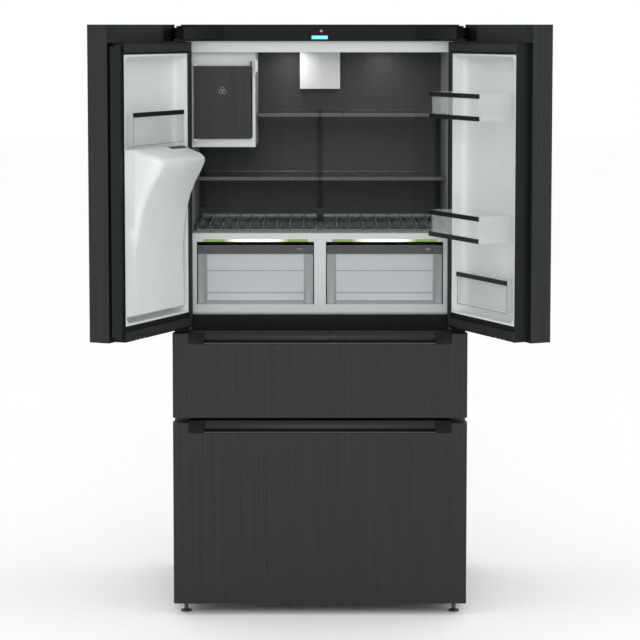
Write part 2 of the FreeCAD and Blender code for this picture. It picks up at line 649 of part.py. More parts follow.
def freezer_profile(label, front, grow):
    """The freezer space, with the step in its rear that clears the machine space."""
    step_back = "(machine_front - machine_wall)"
    step_top = "(machine_roof + machine_wall)"
    points = [(front, f"freezer_floor - {grow}"), (f"{step_back} + {grow}", f"freezer_floor - {grow}"),
              (f"{step_back} + {grow}", f"{step_top} - {grow}"),
              (f"drawer_depth + {grow}", f"{step_top} - {grow}"),
              (f"drawer_depth + {grow}", f"freezer_roof + {grow}"), (front, f"freezer_roof + {grow}")]
    return padded(label, "YZ_Plane", points, f"-(inner_half + {grow})", f"inner_half + {grow}")


def make_base_tray(inner_width):
    """The tray under the cabinet, with ears for the feet and for the rollers' axle."""
    base = tray("base_sheet", inner_width, ("case_front + steel_wall + seam", "case_back"),
                ("ground_gap", "ground_gap + lip"), "steel_wall", "top")
    ear_low = "ground_gap - ear_drop"
    ears = []
    holes = []
    for sign in (-1, 1):
        foot = at(sign, "(case_half - foot_inset)")
        across = (f"{foot} - ear_half", f"{foot} + ear_half")
        ears.append(block("foot_ear", across, ("foot_depth - ear_nose", "case_front + ear_root"),
                          (ear_low, f"{ear_low} + ear_sheet")))
        ears.append(block("foot_riser", across, ("case_front + running_gap", "case_front + ear_root"),
                          (ear_low, "floor_sheet")))
        holes.append(rod("foot_hole", "z", (foot, "foot_depth", f"{ear_low} - past"),
                         "stem_radius + seam", "ear_sheet + 2 * past"))
        slot = ("case_half - roller_inset - roller_width - 2 * running_gap", "case_half - roller_inset")
        for low in (slot[1], f"{slot[0]} - roller_ear"):
            ears.append(block("roller_ear", side(sign, low, f"{low} + roller_ear"),
                              ("case_back - roller_back - roller_ear_half",
                               "case_back - roller_back + roller_ear_half"),
                              ("roller_radius - roller_ear_drop", "floor_sheet")))
        holes.append(block("roller_slot", side(sign, *slot),
                           ("case_back - roller_back - roller_radius - running_gap",
                            "case_back - roller_back + roller_radius + running_gap"),
                           ("ground_gap - past", "floor_sheet + past")))
    holes.append(rod("axle_hole", "x", ("-case_half", "case_back - roller_back", "roller_radius"),
                     "axle_radius + pin_fit", "case_width"))
    ROOT.append(cut("base_tray", fuse("base_body", [base] + ears), holes))


# ---------------------------------------------------------------- inside the fresh food space

def make_cold_parts():
    """The duct panel, the evaporator with its fan's motor, and the filter."""
    duct_back = "duct_face + duct_sheet"
    ROOT.append(block("rear_duct_panel", ("-(inner_half - seam)", "inner_half - seam"),
                      ("duct_face", duct_back), ("fridge_floor + seam", "fridge_roof - seam")))
    half = "((coil_fins - 1) * coil_pitch / 2)"
    fins = []
    for place in range(size["coil_fins"]):
        left = f"{place} * coil_pitch - {half}"
        fins.append(block("evaporator_fin", (left, f"{left} + coil_fin"),
                          (f"{duct_back} + seam", "fridge_depth - seam"),
                          ("coil_bottom", "coil_bottom + coil_height")))
    tubes = [rod("evaporator_tube", "x", (f"-({half} + coil_end)", f"{duct_back} + coil_depth",
                                          f"coil_bottom + coil_first + {place} * coil_rise"),
                 "coil_tube", f"2 * ({half} + coil_end)") for place in range(size["coil_tubes"])]
    motor_start = "(duct_face + fan_gap + fan_length + seam)"
    motor = rod("evaporator_motor", "y", ("0", motor_start, "cold_fan_height"), "motor_radius",
                f"fridge_depth - seam - {motor_start}")
    ROOT.append(group("evaporator", [fuse("evaporator_coil", fins + tubes), motor]))
    ROOT.append(block("filter_housing", ("-filter_width / 2", "filter_width / 2"),
                      ("duct_face - filter_depth", "duct_face - seam"),
                      ("filter_bottom", "fridge_roof - seam")))


def make_rails():
    rails = []
    wall_rail = "(inner_half - rail_width / 2 - seam)"
    for middle in ("0", wall_rail, f"-{wall_rail}"):
        bar = block("rail_bar", (f"{middle} - rail_width / 2", f"{middle} + rail_width / 2"),
                    ("duct_face - rail_depth - seam", "duct_face - seam"), ("rail_bottom", "rail_top"))
        slots = [block("rail_slot", (f"{middle} - slot_half", f"{middle} + slot_half"),
                       ("duct_face - rail_depth - past", "duct_face - rail_depth + slot_depth"),
                       (f"rail_bottom + slot_height + {place} * slot_pitch",
                        f"rail_bottom + 2 * slot_height + {place} * slot_pitch"))
                 for place in range(size["rail_slots"])]
        rails.append(cut("shelf_rail", bar, slots))
    ROOT.append(group("shelf_rails", rails))


def make_shelves():
    """Four glass panes with a trim along each front, on arms that hang in the rails."""
    back = "duct_face - rail_depth - 2 * seam"
    near_arm = "(rail_width / 2 + bracket_width)"
    wall_arm, wall_pane = "(inner_half - rail_width - seam)", "(inner_half - pane_gap)"
    ice_side = "(ice_right - ice_clear)"
    brackets = []
    glasses = []
    trims = []
    for level, sign, far_arm, far in (("upper_shelf", -1, ice_side, ice_side),
                                      ("upper_shelf", 1, wall_arm, wall_pane),
                                      ("lower_shelf", -1, wall_arm, wall_pane),
                                      ("lower_shelf", 1, wall_arm, wall_pane)):
        nose = "shelf_front + bracket_start"
        for arm in (near_arm, far_arm):
            points = [(nose, f"{level} - bracket_nose"), (back, f"{level} - bracket_height"),
                      (back, level), (nose, level)]
            brackets.append(padded("shelf_arm", "YZ_Plane", points, *side(sign, f"{arm} - bracket_width", arm)))
        glasses.append(block("glass_pane", side(sign, "pane_gap", far),
                             ("shelf_front + pane_front", "shelf_back"),
                             (f"{level} + seam", f"{level} + seam + glass")))
        lip = block("trim_bar", side(sign, "pane_gap", far), ("shelf_front", "shelf_front + trim_depth"),
                    (f"{level} - trim_drop", f"{level} + glass + trim_rise"))
        slot = block("trim_slot", side(sign, "pane_gap - past", f"{far} + past"),
                     ("shelf_front + pane_front - seam", "shelf_front + trim_depth + past"),
                     (level, f"{level} + glass + 2 * seam"))
        trims.append(cut("shelf_trim", lip, [slot]))
    ROOT.append(group("shelf_brackets", brackets))
    ROOT.append(group("glass_shelves", glasses))
    ROOT.append(group("shelf_trims", trims))
    ROOT.append(group("bottle_racks", [make_rack(-1), make_rack(1)]))


def make_rack(sign):
    """A clear tray pressed into long round hollows, one beside the other."""
    near = size["rack_margin"]
    far = number("inner_half") - size["rack_margin"]
    hollows = int((far - near) / size["rack_hollow"])
    pitch = (far - near) / hollows
    low = size["crisper_top"] + size["seam"]
    high = low + size["rack_height"] - size["rack_wall"]
    hollow_floors = []
    for place in range(hollows):
        start = near + pitch * place
        hollow_floors.append(Part.Arc(FreeCAD.Vector(start, 0, high), FreeCAD.Vector(start + pitch / 2, 0, low),
                                      FreeCAD.Vector(start + pitch, 0, high)))
    wall = FreeCAD.Vector(0, 0, size["rack_wall"])
    below = [arc.toShape() for arc in hollow_floors]
    above = [edge.translated(wall) for edge in below]
    first, last = FreeCAD.Vector(near, 0, high), FreeCAD.Vector(far, 0, high)
    ends = [Part.makeLine(first, first.add(wall)), Part.makeLine(last, last.add(wall))]
    profile = Part.Wire(Part.__sortEdges__(below + above + ends))
    front = number("rack_front")
    rack = doc.addObject("Part::Feature", "bottle_rack")
    rack.Shape = Part.Face(profile).extrude(FreeCAD.Vector(0, size["shelf_back"] - front, 0))
    if sign < 0:
        rack.Shape = rack.Shape.mirror(FreeCAD.Vector(), FreeCAD.Vector(1, 0, 0))
    rack.Placement = FreeCAD.Placement(FreeCAD.Vector(0, front, 0), FreeCAD.Rotation())
    return rack


def make_crisper_module():
    frame = block("crisper_block", ("-(inner_half - seam)", "inner_half - seam"),
                  ("crisper_front", "crisper_front + crisper_depth"),
                  ("fridge_floor + seam", "crisper_top"))
    light_near = "(divider / 2 + light_inset)"
    light_far = "(inner_half - crisper_side - light_inset)"
    holes = []
    lights = []
    for sign in (-1, 1):
        holes.append(block("crisper_opening", side(sign, "divider / 2", "inner_half - crisper_side"),
                           ("crisper_front - past", "case_back"), ("opening_bottom", "opening_top")))
        holes.append(block("crisper_hollow", side(sign, "divider / 2", "inner_half - crisper_skin"),
                           ("crisper_front + crisper_rim", "case_back"),
                           ("fridge_floor + crisper_skin", "crisper_top - crisper_roof")))
        holes.append(block("light_groove", side(sign, light_near, light_far),
                           ("crisper_front - past", "crisper_front + light_depth"),
                           ("opening_top - past", "opening_top + light_height + seam")))
        lights.append(block("light_bar", side(sign, f"{light_near} + seam", f"{light_far} - seam"),
                            ("crisper_front + past", "crisper_front + light_depth - seam"),
                            ("opening_top", "opening_top + light_height")))
    ROOT.append(cut("crisper_frame", frame, holes))
    ROOT.append(group("crisper_lights", lights))

    near = "divider / 2 + running_gap"
    far = "inner_half - crisper_side - running_gap"
    top = "(opening_top - trim_height - trim_clear)"
    for name, sign in (("left", -1), ("right", 1)):
        across = side(sign, near, far)
        ROOT.append(tray(f"{name}_crisper_box", across,
                         ("crisper_front + crisper_set", "crisper_front + crisper_depth - crisper_end"),
                         ("opening_bottom + seam", top), "crisper_wall", "top"))
        bar = block("trim_bar", across,
                    ("crisper_front - trim_proud", "crisper_front - trim_proud + strip_thick"),
                    (f"{top} + seam", f"{top} + seam + trim_height"))
        pull = block("trim_pull", side(sign, f"{near} + pull_inset", f"{far} - pull_inset"),
                     ("crisper_front + crisper_set", "crisper_front + strip_thick"),
                     (top, f"{top} + trim_height - pull_lip"))
        ROOT.append(cut(f"{name}_crisper_trim", bar, [pull]))


def make_ice_maker():
    """Housing with a framed front, the bin inside it, and the small door hung on two pins."""
    left, right = "-(inner_half - seam)", "-ice_right"
    back = "ice_front + ice_depth"
    inner_left, inner_right = f"{left} + ice_wall", f"{right} - ice_wall"
    door_left, door_right = f"{inner_left} - ice_door_lap", f"{inner_right} - ice_tab_room"
    door_back = "ice_front - ice_door_gap"
    door_face = f"{door_back} - ice_door_depth"
    pin = (f"{door_left} + ice_pin_inset", f"{door_back} - ice_door_depth / 2")
    body = tray("ice_box", (left, right), ("ice_front", back), ("ice_bottom", "fridge_roof - seam"),
                "ice_wall", "front")
    frame = [block("ice_sill", (left, right), ("ice_front", "ice_front + ice_frame"),
                   ("ice_bottom + past", "ice_door_bottom + ice_door_lap")),
             block("ice_header", (left, right), ("ice_front", "ice_front + ice_frame"),
                   ("ice_door_top - ice_door_lap", "fridge_roof - seam - past"))]
    holes = []
    for low in ("ice_door_bottom - ice_lug_height", "ice_door_top + seam"):
        frame.append(block("ice_lug", (f"{pin[0]} - ice_lug_side", f"{pin[0]} + ice_lug_reach"),
                           (door_face, "ice_front + past"), (low, f"{low} + ice_lug_height - seam")))
        holes.append(rod("ice_hole", "z", (*pin, f"{low} - past"), "ice_pin + pin_fit",
                         "ice_lug_height + 2 * past"))
    ROOT.append(cut("ice_maker_housing", fuse("ice_framed", [body] + frame), holes))
    ROOT.append(tray("ice_bin", (f"{inner_left} + running_gap", f"{inner_right} - running_gap"),
                     ("ice_front + ice_bin_front", f"{back} - ice_wall - ice_bin_back"),
                     ("ice_bottom + ice_wall + seam", "ice_bottom + ice_bin_top"), "box_wall", "top"))
    panel = block("ice_door_panel", (door_left, door_right), (door_face, door_back),
                  ("ice_door_bottom", "ice_door_top"))
    tab_left = f"{door_right} - ice_tab_lap"
    tab = block("ice_door_tab", (tab_left, f"{tab_left} + ice_tab"),
                (f"{door_face} - ice_door_depth", f"{door_back} - ice_door_lap"),
                ("ice_door_top - ice_tab_drop", "ice_door_top + ice_tab_rise"))
    hinge_pin = rod("ice_door_pin", "z", (*pin, "ice_door_bottom - ice_pin_reach"), "ice_pin",
                    "ice_door_top - ice_door_bottom + 2 * ice_pin_reach")
    ROOT.append(fuse("ice_maker_door", [panel, tab, hinge_pin]))


# ---------------------------------------------------------------- control strip and hinges

def make_control_strip():
    housing = block("strip_block", ("-(case_half - strip_inset)", "case_half - strip_inset"),
                    ("strip_front", "strip_front + strip_depth"), ("case_top + seam", "total_height"))
    plate_low = "case_top + seam"
    plate_high = f"{plate_low} + hinge_plate"
    notches = []
    covers = []
    hinges = []
    for sign in (-1, 1):
        notches.append(block("plate_notch", side(sign, "pivot_across - plate_reach - running_gap", "case_half"),
                             ("strip_front - past", "case_front + plate_back + running_gap"),
                             ("case_top", f"{plate_high} + seam")))
        hinges.append(upper_hinge(sign, plate_low, plate_high))
        hinges.append(lower_hinge(sign))
        covers.append(padded("hinge_cover", "XY_Plane", cover_outline(sign),
                             f"{plate_high} + seam", f"{plate_high} + seam + cover_height"))
    ROOT.append(cut("control_panel", housing, notches))
    ROOT.append(group("door_hinges", hinges))
    ROOT.append(group("hinge_covers", covers))


def upper_hinge(sign, low, high):
    """A plate on the cabinet's top, an arm that runs forward from it, and the pin under its end."""
    plate = block("upper_plate", side(sign, "pivot_across - plate_reach", "pivot_across + plate_side"),
                  ("case_front - plate_front", "case_front + plate_back"), (low, high))
    root = "case_front - arm_lap"
    arm = padded("upper_arm", "XY_Plane",
                 [(at(sign, "(pivot_across - arm_root)"), root),
                  (at(sign, "(pivot_across - arm_half)"), "pivot_depth - arm_half"),
                  (at(sign, "(pivot_across + arm_half)"), "pivot_depth - arm_half"),
                  (at(sign, "(pivot_across + arm_half)"), "pivot_depth + arm_half"),
                  (at(sign, "(pivot_across + plate_side)"), root)][::sign], low, high)
    pin = rod("upper_pin", "z", (at(sign, "pivot_across"), "pivot_depth", f"{low} + past - pin_reach"),
              "pin_radius", "pin_reach")
    return fuse("upper_hinge", [plate, arm, pin])


def lower_hinge(sign):
    """An angle on the cabinet's front, with the pin standing on its shelf."""
    top = "door_bottom - running_gap"
    across = side(sign, "pivot_across - shelf_inner", "pivot_across + shelf_outer")
    shelf = block("lower_plate", across, ("pivot_depth - shelf_nose", "case_front - seam"),
                  (f"{top} - hinge_plate", top))
    leg = block("lower_leg", across, ("case_front - hinge_plate", "case_front - seam"),
                (f"{top} - leg_height", top))
    pin = rod("lower_pin", "z", (at(sign, "pivot_across"), "pivot_depth", f"{top} - past"),
              "pin_radius", "pin_reach")
    return fuse("lower_hinge", [shelf, leg, pin])


def cover_outline(sign):
    """A half-moon from the control strip forward to a round nose about the hinge pin."""
    back = "strip_front - seam"
    moon = (at(sign, "(pivot_across - cover_reach)"), back)
    neck = (at(sign, "(pivot_across - cover_neck)"), "pivot_depth - neck_front")
    nose = (at(sign, "pivot_across"), "pivot_depth - cover_nose")
    cheek = (at(sign, "(pivot_across + cover_nose)"), "pivot_depth")
    heel = (at(sign, "(pivot_across + cover_side)"), back)
    if sign > 0:
        return [(*moon, "moon_radius"), neck, (*nose, "cover_nose"), cheek, heel]
    return [heel, (*cheek, "cover_nose"), nose, (*neck, "moon_radius"), moon]


# ---------------------------------------------------------------- doors

def make_door(name, sign, nodes):
    """Shell, frame with its core, liner and gasket of one door, drawn closed."""
    span = side(sign, "free_edge", "hinge_edge")
    pin = (at(sign, "pivot_across"), "pivot_depth")
    pocket_floor = "total_height - pocket_height"
    pocket = block("pocket", side(sign, "pivot_across - pocket_reach", "case_half + past"),
                   ("pocket_front", "case_front"), (pocket_floor, "total_height + past"))
    sweep = rod("pocket_round", "z", (*pin, pocket_floor), "pivot_depth - pocket_front + running_gap",
                "pocket_height + past")
    lower_hole = rod("lower_hole", "z", (*pin, "door_bottom - past"), "pin_radius + pin_fit",
                     "pin_reach + 2 * past")
    upper_hole = rod("upper_hole", "z", (*pin, f"{pocket_floor} - pin_reach - 2 * past"),
                     "pin_radius + pin_fit", "pin_reach + 3 * past")

    def front_corner(edge):
        return runs_along(edge, "z") and edge.BoundBox.YMax < 2 * size["steel_wall"]

    skin = rounded(padded(f"{name}_skin", "XY_Plane",
                          [(span[0], "0"), (span[1], "0"), (span[1], "skin_depth"), (span[0], "skin_depth")],
                          "door_bottom", "total_height"), front_corner, "edge_round")
    hollow = rounded(door_filling(f"{name}_skin_hollow", span, "steel_wall", "skin_depth + past"),
                     front_corner, "edge_round - steel_wall")
    core = rounded(door_filling(f"{name}_core", span, "(steel_wall + seam)", "skin_depth"),
                   front_corner, "edge_round - steel_wall")
    shell_tools = [hollow, pocket, sweep, lower_hole]
    core_tools = [pocket, sweep, lower_hole, upper_hole]
    lugs = []
    if sign < 0:
        alcove = alcove_block("alcove_cut", "seam")
        shell_tools.append(alcove)
        core_tools.append(alcove)
        lugs, lug_holes = mullion_ears()
        core_tools += lug_holes
    nodes.append(cut(f"{name}_door_shell", skin, shell_tools))

    spacer = block("groove_spacer", side(sign, "free_edge + mullion_room", "hinge_edge - groove"),
                   ("skin_depth - past", "skin_depth + groove + past"),
                   ("door_bottom + groove_inset", "total_height - groove"))
    inner = block("inner_body", side(sign, "free_edge + mullion_room", "hinge_edge"),
                  ("skin_depth + groove", "inner_depth"), ("door_bottom + body_inset", "body_top"))
    band = block("top_band", span, ("skin_depth + seam", "band_depth"), ("body_top", "total_height"))
    free = "free_edge + liner_free"
    hinge = "hinge_edge - liner_hinge"
    recess = block("liner_space", side(sign, free, hinge),
                   ("inner_depth - liner_recess", "inner_depth + past"), ("liner_bottom", "liner_top"))
    nodes.append(cut(f"{name}_door_frame", fuse(f"{name}_frame_body", [core, spacer, inner, band] + lugs),
                     core_tools + [recess]))
    nodes.append(tray(f"{name}_door_liner", side(sign, f"{free} + seam", f"{hinge} - seam"),
                      ("inner_depth - liner_recess + seam", "inner_depth"),
                      ("liner_bottom + seam", "liner_top - seam"), "liner_wall", "back"))
    outer = block("gasket_outer", side(sign, "free_edge + mullion_room", "pivot_across"),
                  ("inner_depth", "case_front - 2 * seam"),
                  ("door_bottom + gasket_foot", "body_top - gasket_head"))
    inside = block("gasket_inner", side(sign, "0", "pivot_across - gasket_width"),
                   ("inner_depth - past", "case_front + past"),
                   ("fridge_floor - gasket_lap", "fridge_roof + gasket_lap"))
    nodes.append(cut(f"{name}_door_gasket", outer, [inside]))


def door_filling(label, span, inset, back):
    """A block inside the door's skin, the same distance from the skin's outside all round."""
    return padded(label, "XY_Plane",
                  [(f"{span[0]} + {inset}", inset), (f"{span[1]} - {inset}", inset),
                   (f"{span[1]} - {inset}", back), (f"{span[0]} + {inset}", back)],
                  f"door_bottom + {inset}", f"total_height - {inset}")


def flush_bin(label, sign, free, bottom):
    """A shallow bin that stands in the door's liner, with its rim on top."""
    near = f"free_edge + liner_free + {free}"
    across = side(sign, near, f"{near} + flush_bin_width")
    top = f"{bottom} + flush_bin_height"
    body = tray(label, across, ("liner_floor", "inner_depth - rim_depth - seam"), (bottom, top),
                "bin_wall", "top")
    rim = block(label + "_rim", across, ("inner_depth - rim_depth", "inner_depth"),
                (f"{top} - rim_height", top))
    return body, rim


def make_right_bins():
    bins = []
    rims = []
    across = side(1, "free_edge + bin_free", "inner_half - running_gap")
    front = "inner_depth + bin_reach"
    for level in ("upper_bin", "middle_bin"):
        bins.append(tray("clear_bin", across, ("liner_floor", f"{front} - rim_depth"),
                         (level, f"{level} + bin_height"), "bin_wall", "top"))
        for low in (level, f"{level} + bin_height - rim_height"):
            rims.append(block("clear_bin_rim", across, (f"{front} - rim_depth + seam", front),
                              (low, f"{low} + rim_height")))
    body, rim = flush_bin("lower_flush", 1, "right_bin_inset", "lower_bin")
    RIGHT.append(group("right_door_bins", bins + [body]))
    RIGHT.append(group("right_bin_rims", rims + [rim]))


def alcove_block(label, grow):
    return block(label, (f"-(alcove_middle + alcove_width / 2 + {grow})",
                         f"-(alcove_middle - alcove_width / 2 - {grow})"),
                 ("-past", f"alcove_depth + {grow}"),
                 (f"alcove_bottom - {grow}", f"alcove_bottom + alcove_height + {grow}"))


def make_shroud():
    """The bulge inside the left door that covers the ice chute, hollow, with a slot in its top."""
    near = "free_edge + shroud_free"
    far = "(inner_half - running_gap)"
    nose = "inner_depth + shroud_reach"
    points = [("liner_floor", "shroud_foot"), ("inner_depth", "shroud_foot"), (nose, "shroud_nose"),
              (f"{nose} - shroud_brow", "shroud_lip"), ("inner_depth", "shroud_top"),
              ("liner_floor", "shroud_top")]
    solid = padded("shroud_solid", "YZ_Plane", points, *side(-1, near, far))
    sole = "shroud_foot + shroud_sole"
    inside = [("liner_floor - past", sole), ("inner_depth", sole),
              (f"{nose} - shroud_wall", "shroud_nose - shroud_wall"),
              (f"{nose} - shroud_brow - shroud_wall", "shroud_lip - shroud_wall"),
              ("liner_floor - past", "shroud_top - 2 * shroud_wall")]
    hollow = padded("shroud_hollow", "YZ_Plane", inside,
                    *side(-1, f"{near} + shroud_wall", f"{far} - shroud_wall"))
    chute = block("chute_slot", side(-1, f"{far} - chute_inset - chute_width", f"{far} - chute_inset"),
                  ("inner_depth + chute_front", "inner_depth + chute_front + chute_length"),
                  ("shroud_lip - chute_drop", "shroud_top"))
    LEFT.append(cut("dispenser_shroud", solid, [hollow, chute]))


def make_dispenser():
    """The alcove in the left door's face, its spout, head, grille and ears, and the paddle."""
    middle = "-alcove_middle"
    ceiling = "alcove_bottom + alcove_height"
    back = "alcove_depth - alcove_wall + past / 2"
    body = tray("alcove_body", (f"{middle} - alcove_width / 2", f"{middle} + alcove_width / 2"),
                ("0", "alcove_depth"), ("alcove_bottom", ceiling), "alcove_wall", "front")
    spout = rod("water_spout", "z", (middle, "spout_depth", f"{ceiling} - spout_drop"), "spout_radius",
                "spout_drop - past")
    head = block("dispenser_head", (f"{middle} - head_half", f"{middle} + head_half"), ("alcove_set", back),
                 (f"{ceiling} - head_drop", f"{ceiling} - alcove_wall + past / 2"))
    grille = block("drip_grille", (f"{middle} - grille_half", f"{middle} + grille_half"),
                   ("alcove_set", back),
                   ("alcove_bottom + alcove_wall - past / 2", "alcove_bottom + alcove_wall + grille_height"))
    first = "((grille_slots - 1) * grille_pitch / 2 + grille_pitch / 4)"
    slots = [block("grille_slot", (f"{middle} - {first} + {place} * grille_pitch",
                                   f"{middle} - {first} + {place} * grille_pitch + grille_pitch / 2"),
                   ("alcove_set + grille_edge", "alcove_depth - alcove_wall - grille_edge"),
                   ("alcove_bottom + alcove_wall + past", "alcove_bottom + alcove_wall + grille_height + past"))
             for place in range(size["grille_slots"])]
    top = f"({ceiling} - head_drop - running_gap)"
    axle_height = f"({top} - axle_drop)"
    ears = []
    for sign in (-1, 1):
        ear = f"{middle} + {sign} * ear_spread"
        ears.append(block("paddle_ear", (f"{ear} - paddle_ear / 2", f"{ear} + paddle_ear / 2"),
                          ("paddle_depth - 2 * small_pin", "paddle_depth + 2 * small_pin"),
                          (f"{axle_height} - 2 * small_pin", f"{top} + running_gap + past")))
    reach = "(ear_spread + 2 * past)"
    axle_hole = rod("paddle_hole", "x", (f"{middle} - {reach} - past", "paddle_depth", axle_height),
                    "small_pin + pin_fit", f"2 * ({reach} + past)")
    LEFT.append(cut("dispenser_alcove", fuse("alcove_fitted", [body, spout, head, grille] + ears),
                    slots + [axle_hole]))

    left, right = f"{middle} - paddle_width / 2", f"{middle} + paddle_width / 2"
    plate = rounded(padded("paddle_plate", "XZ_Plane",
                           [(left, f"{top} - paddle_height"), (right, f"{top} - paddle_height"),
                            (right, top), (left, top)],
                           "paddle_depth - paddle_sheet - past / 2", "paddle_depth - past / 2"),
                    lambda edge: runs_along(edge, "y"), "paddle_round")
    axle = rod("paddle_axle", "x", (f"{middle} - {reach}", "paddle_depth", axle_height), "small_pin",
               f"2 * {reach}")
    LEFT.append(fuse("dispenser_paddle", [plate, axle]))


def mullion_ears():
    """Two lugs on the left door's frame that hold the ends of the bar, and their pin holes."""
    ears = []
    holes = []
    for low in ("mullion_bottom - mullion_ear - seam", "mullion_top + seam"):
        ears.append(block("mullion_ear", ("-(free_edge + mullion_room + past)", "-mullion_ear_end"),
                          ("mullion_pin_depth - mullion_ear_nose", "inner_depth"),
                          (low, f"{low} + mullion_ear")))
        holes.append(rod("mullion_hole", "z", ("-mullion_pivot", "mullion_pin_depth", f"{low} - past"),
                         "small_pin + pin_fit", "mullion_ear + 2 * past"))
    return ears, holes


def make_mullion():
    """The bar that flips out to close the gap between the doors, folded beside the left door's edge."""
    near, far = "-mullion_side", "-(mullion_side + mullion_depth)"
    back = "mullion_front + mullion_width"
    bar = rounded(padded("mullion_profile", "XY_Plane",
                         [(far, "mullion_front"), (near, "mullion_front"), (near, back), (far, back)],
                         "mullion_bottom", "mullion_top"),
                  lambda edge: runs_along(edge, "z"), "mullion_round")
    pin = rod("mullion_pin", "z", ("-mullion_pivot", "mullion_pin_depth", "mullion_bottom - mullion_ear"),
              "small_pin", "mullion_top - mullion_bottom + 2 * mullion_ear")
    LEFT.append(fuse("mullion_bar", [bar, pin]))


# ---------------------------------------------------------------- drawers

def make_drawer(name, bottom, ends, floor, roof, box_height, box_end):
    """Front, grip, box and gasket of one drawer, drawn shut."""
    recess = f"{ends} - recess_drop"
    outline = [("-hinge_edge", bottom), ("hinge_edge", bottom), ("hinge_edge", ends),
               ("recess_half", ends), ("recess_half", recess), ("-recess_half", recess),
               ("-recess_half", ends), ("-hinge_edge", ends)]
    outer_edge = number("hinge_edge") - size["past"]
    steel = rounded(padded(f"{name}_steel", "XZ_Plane", outline, "0", "front_depth"),
                    lambda edge: runs_along(edge, "z") and edge.BoundBox.YMax < size["past"]
                    and abs(edge.BoundBox.XMax) > outer_edge, "edge_round")
    core = block(f"{name}_core", ("-(case_half - core_inset)", "case_half - core_inset"),
                 ("front_depth - past", "core_depth"), (f"{bottom} + core_rise", recess))
    wall_front = "front_depth - recess_wall"
    rear = block(f"{name}_rear_wall", ("-recess_half", "recess_half"), (wall_front, "core_depth - recess_lip"),
                 (f"{recess} - past", f"{ends} - 2 * past"))
    ROOT.append(fuse(f"{name}_drawer_front", [steel, core, rear]))

    top = f"({ends} + handle_rise)"
    grip = padded(f"{name}_grip", "YZ_Plane",
                  [("grip_front", top), ("grip_foot", f"{top} - grip_height", "-grip_hollow"),
                   ("grip_depth", f"{top} - grip_height"), ("grip_depth", top)], "-grip_half", "grip_half")
    blocks = [block(f"{name}_grip_end", side(sign, "grip_half - past", "recess_half - seam"),
                    ("end_front", f"{wall_front} - seam"), (f"{recess} + seam", top)) for sign in (-1, 1)]
    ROOT.append(fuse(f"{name}_drawer_handle", [grip] + blocks))

    ring = block(f"{name}_seal_outer", ("-(inner_half + seal_outer)", "inner_half + seal_outer"),
                 ("core_depth", "case_front - 2 * seam"), (f"{floor} - seal_rise", f"{roof} + seal_rise"))
    hole = block(f"{name}_seal_inner", ("-(inner_half + seal_inner)", "inner_half + seal_inner"),
                 ("core_depth - past", "case_front + past"), (f"{floor} + past", f"{roof} - past"))
    ROOT.append(cut(f"{name}_drawer_gasket", ring, [hole]))

    half = "(inner_half - runner_width - 2 * seam)"
    low = f"{floor} + box_lift"
    ROOT.append(tray(f"{name}_drawer_box", (f"-{half}", half), ("core_depth", box_end),
                     (low, f"{low} + {box_height}"), "box_wall", "top"))


def make_drawers():
    runners = []
    for name, bottom, ends, end in (("middle", "middle_bottom", "middle_ends", "drawer_depth - middle_room"),
                                    ("freezer", "ground_gap", "freezer_ends", "machine_front - freezer_room")):
        floor, height = f"{name}_floor", f"{name}_box"
        make_drawer(name, bottom, ends, floor, f"{name}_roof", height, end)
        low = f"({floor} + box_lift + {height} / 2)"
        for sign in (-1, 1):
            runners.append(block("runner", side(sign, "inner_half - seam - runner_width", "inner_half - seam"),
                                 ("case_front + runner_front", end), (low, f"{low} + runner_height")))
    ROOT.append(group("drawer_runners", runners))


# ---------------------------------------------------------------- underneath and behind

def make_feet():
    feet = []
    wheels = []
    top = "floor_sheet - running_gap"
    points = [("0", "0"), ("foot_radius - foot_edge", "0"), ("foot_radius", "foot_edge"),
              ("foot_radius", "foot_pad - foot_slope"), ("stem_radius", "foot_pad"),
              ("stem_radius", top), ("0", top)]
    for sign in (-1, 1):
        foot = at(sign, "(case_half - foot_inset)")
        feet.append(revolved("levelling_foot", points, (foot, "foot_depth", "0")))
        across = side(sign, "case_half - roller_inset - roller_width - running_gap",
                      "case_half - roller_inset - running_gap")
        wheels.append(rod("roller", "x", (across[0], "case_back - roller_back", "roller_radius"),
                          "roller_radius", "roller_width"))
    ROOT.append(group("levelling_feet", feet))
    axle = rod("roller_axle", "x", ("-(case_half - axle_inset)", "case_back - roller_back", "roller_radius"),
               "axle_radius", "2 * (case_half - axle_inset)")
    ROOT.append(fuse("rear_rollers", wheels + [axle]))


def make_compressor():
    shell_points = [("0", "0"), ("compressor_radius - 15", "0"), ("compressor_radius - 5", "12"),
                    ("compressor_radius", "30"), ("compressor_radius", "compressor_height - 53"),
                    ("compressor_radius - 8", "compressor_height - 26"),
                    ("compressor_radius - 30", "compressor_height - 7"), ("0", "compressor_height")]
    middle = ("-compressor_across", "case_back - compressor_back")
    shell = revolved("compressor_shell", shell_points, (*middle, "bench + compressor_foot"))
    legs = [rod("compressor_mount", "z", (f"{middle[0]} + {across} * mount_across",
                                          f"{middle[1]} + {deep} * mount_deep", "bench"),
                "mount_radius", "mount_height") for across in (-1, 1) for deep in (-1, 1)]
    plate = block("compressor_plate", (f"{middle[0]} - plate_across", f"{middle[0]} + plate_across"),
                  (f"{middle[1]} - plate_deep", f"{middle[1]} + plate_deep"),
                  ("bench + mount_height", "bench + compressor_foot"))
    ROOT.append(group("compressor", [shell, plate] + legs))


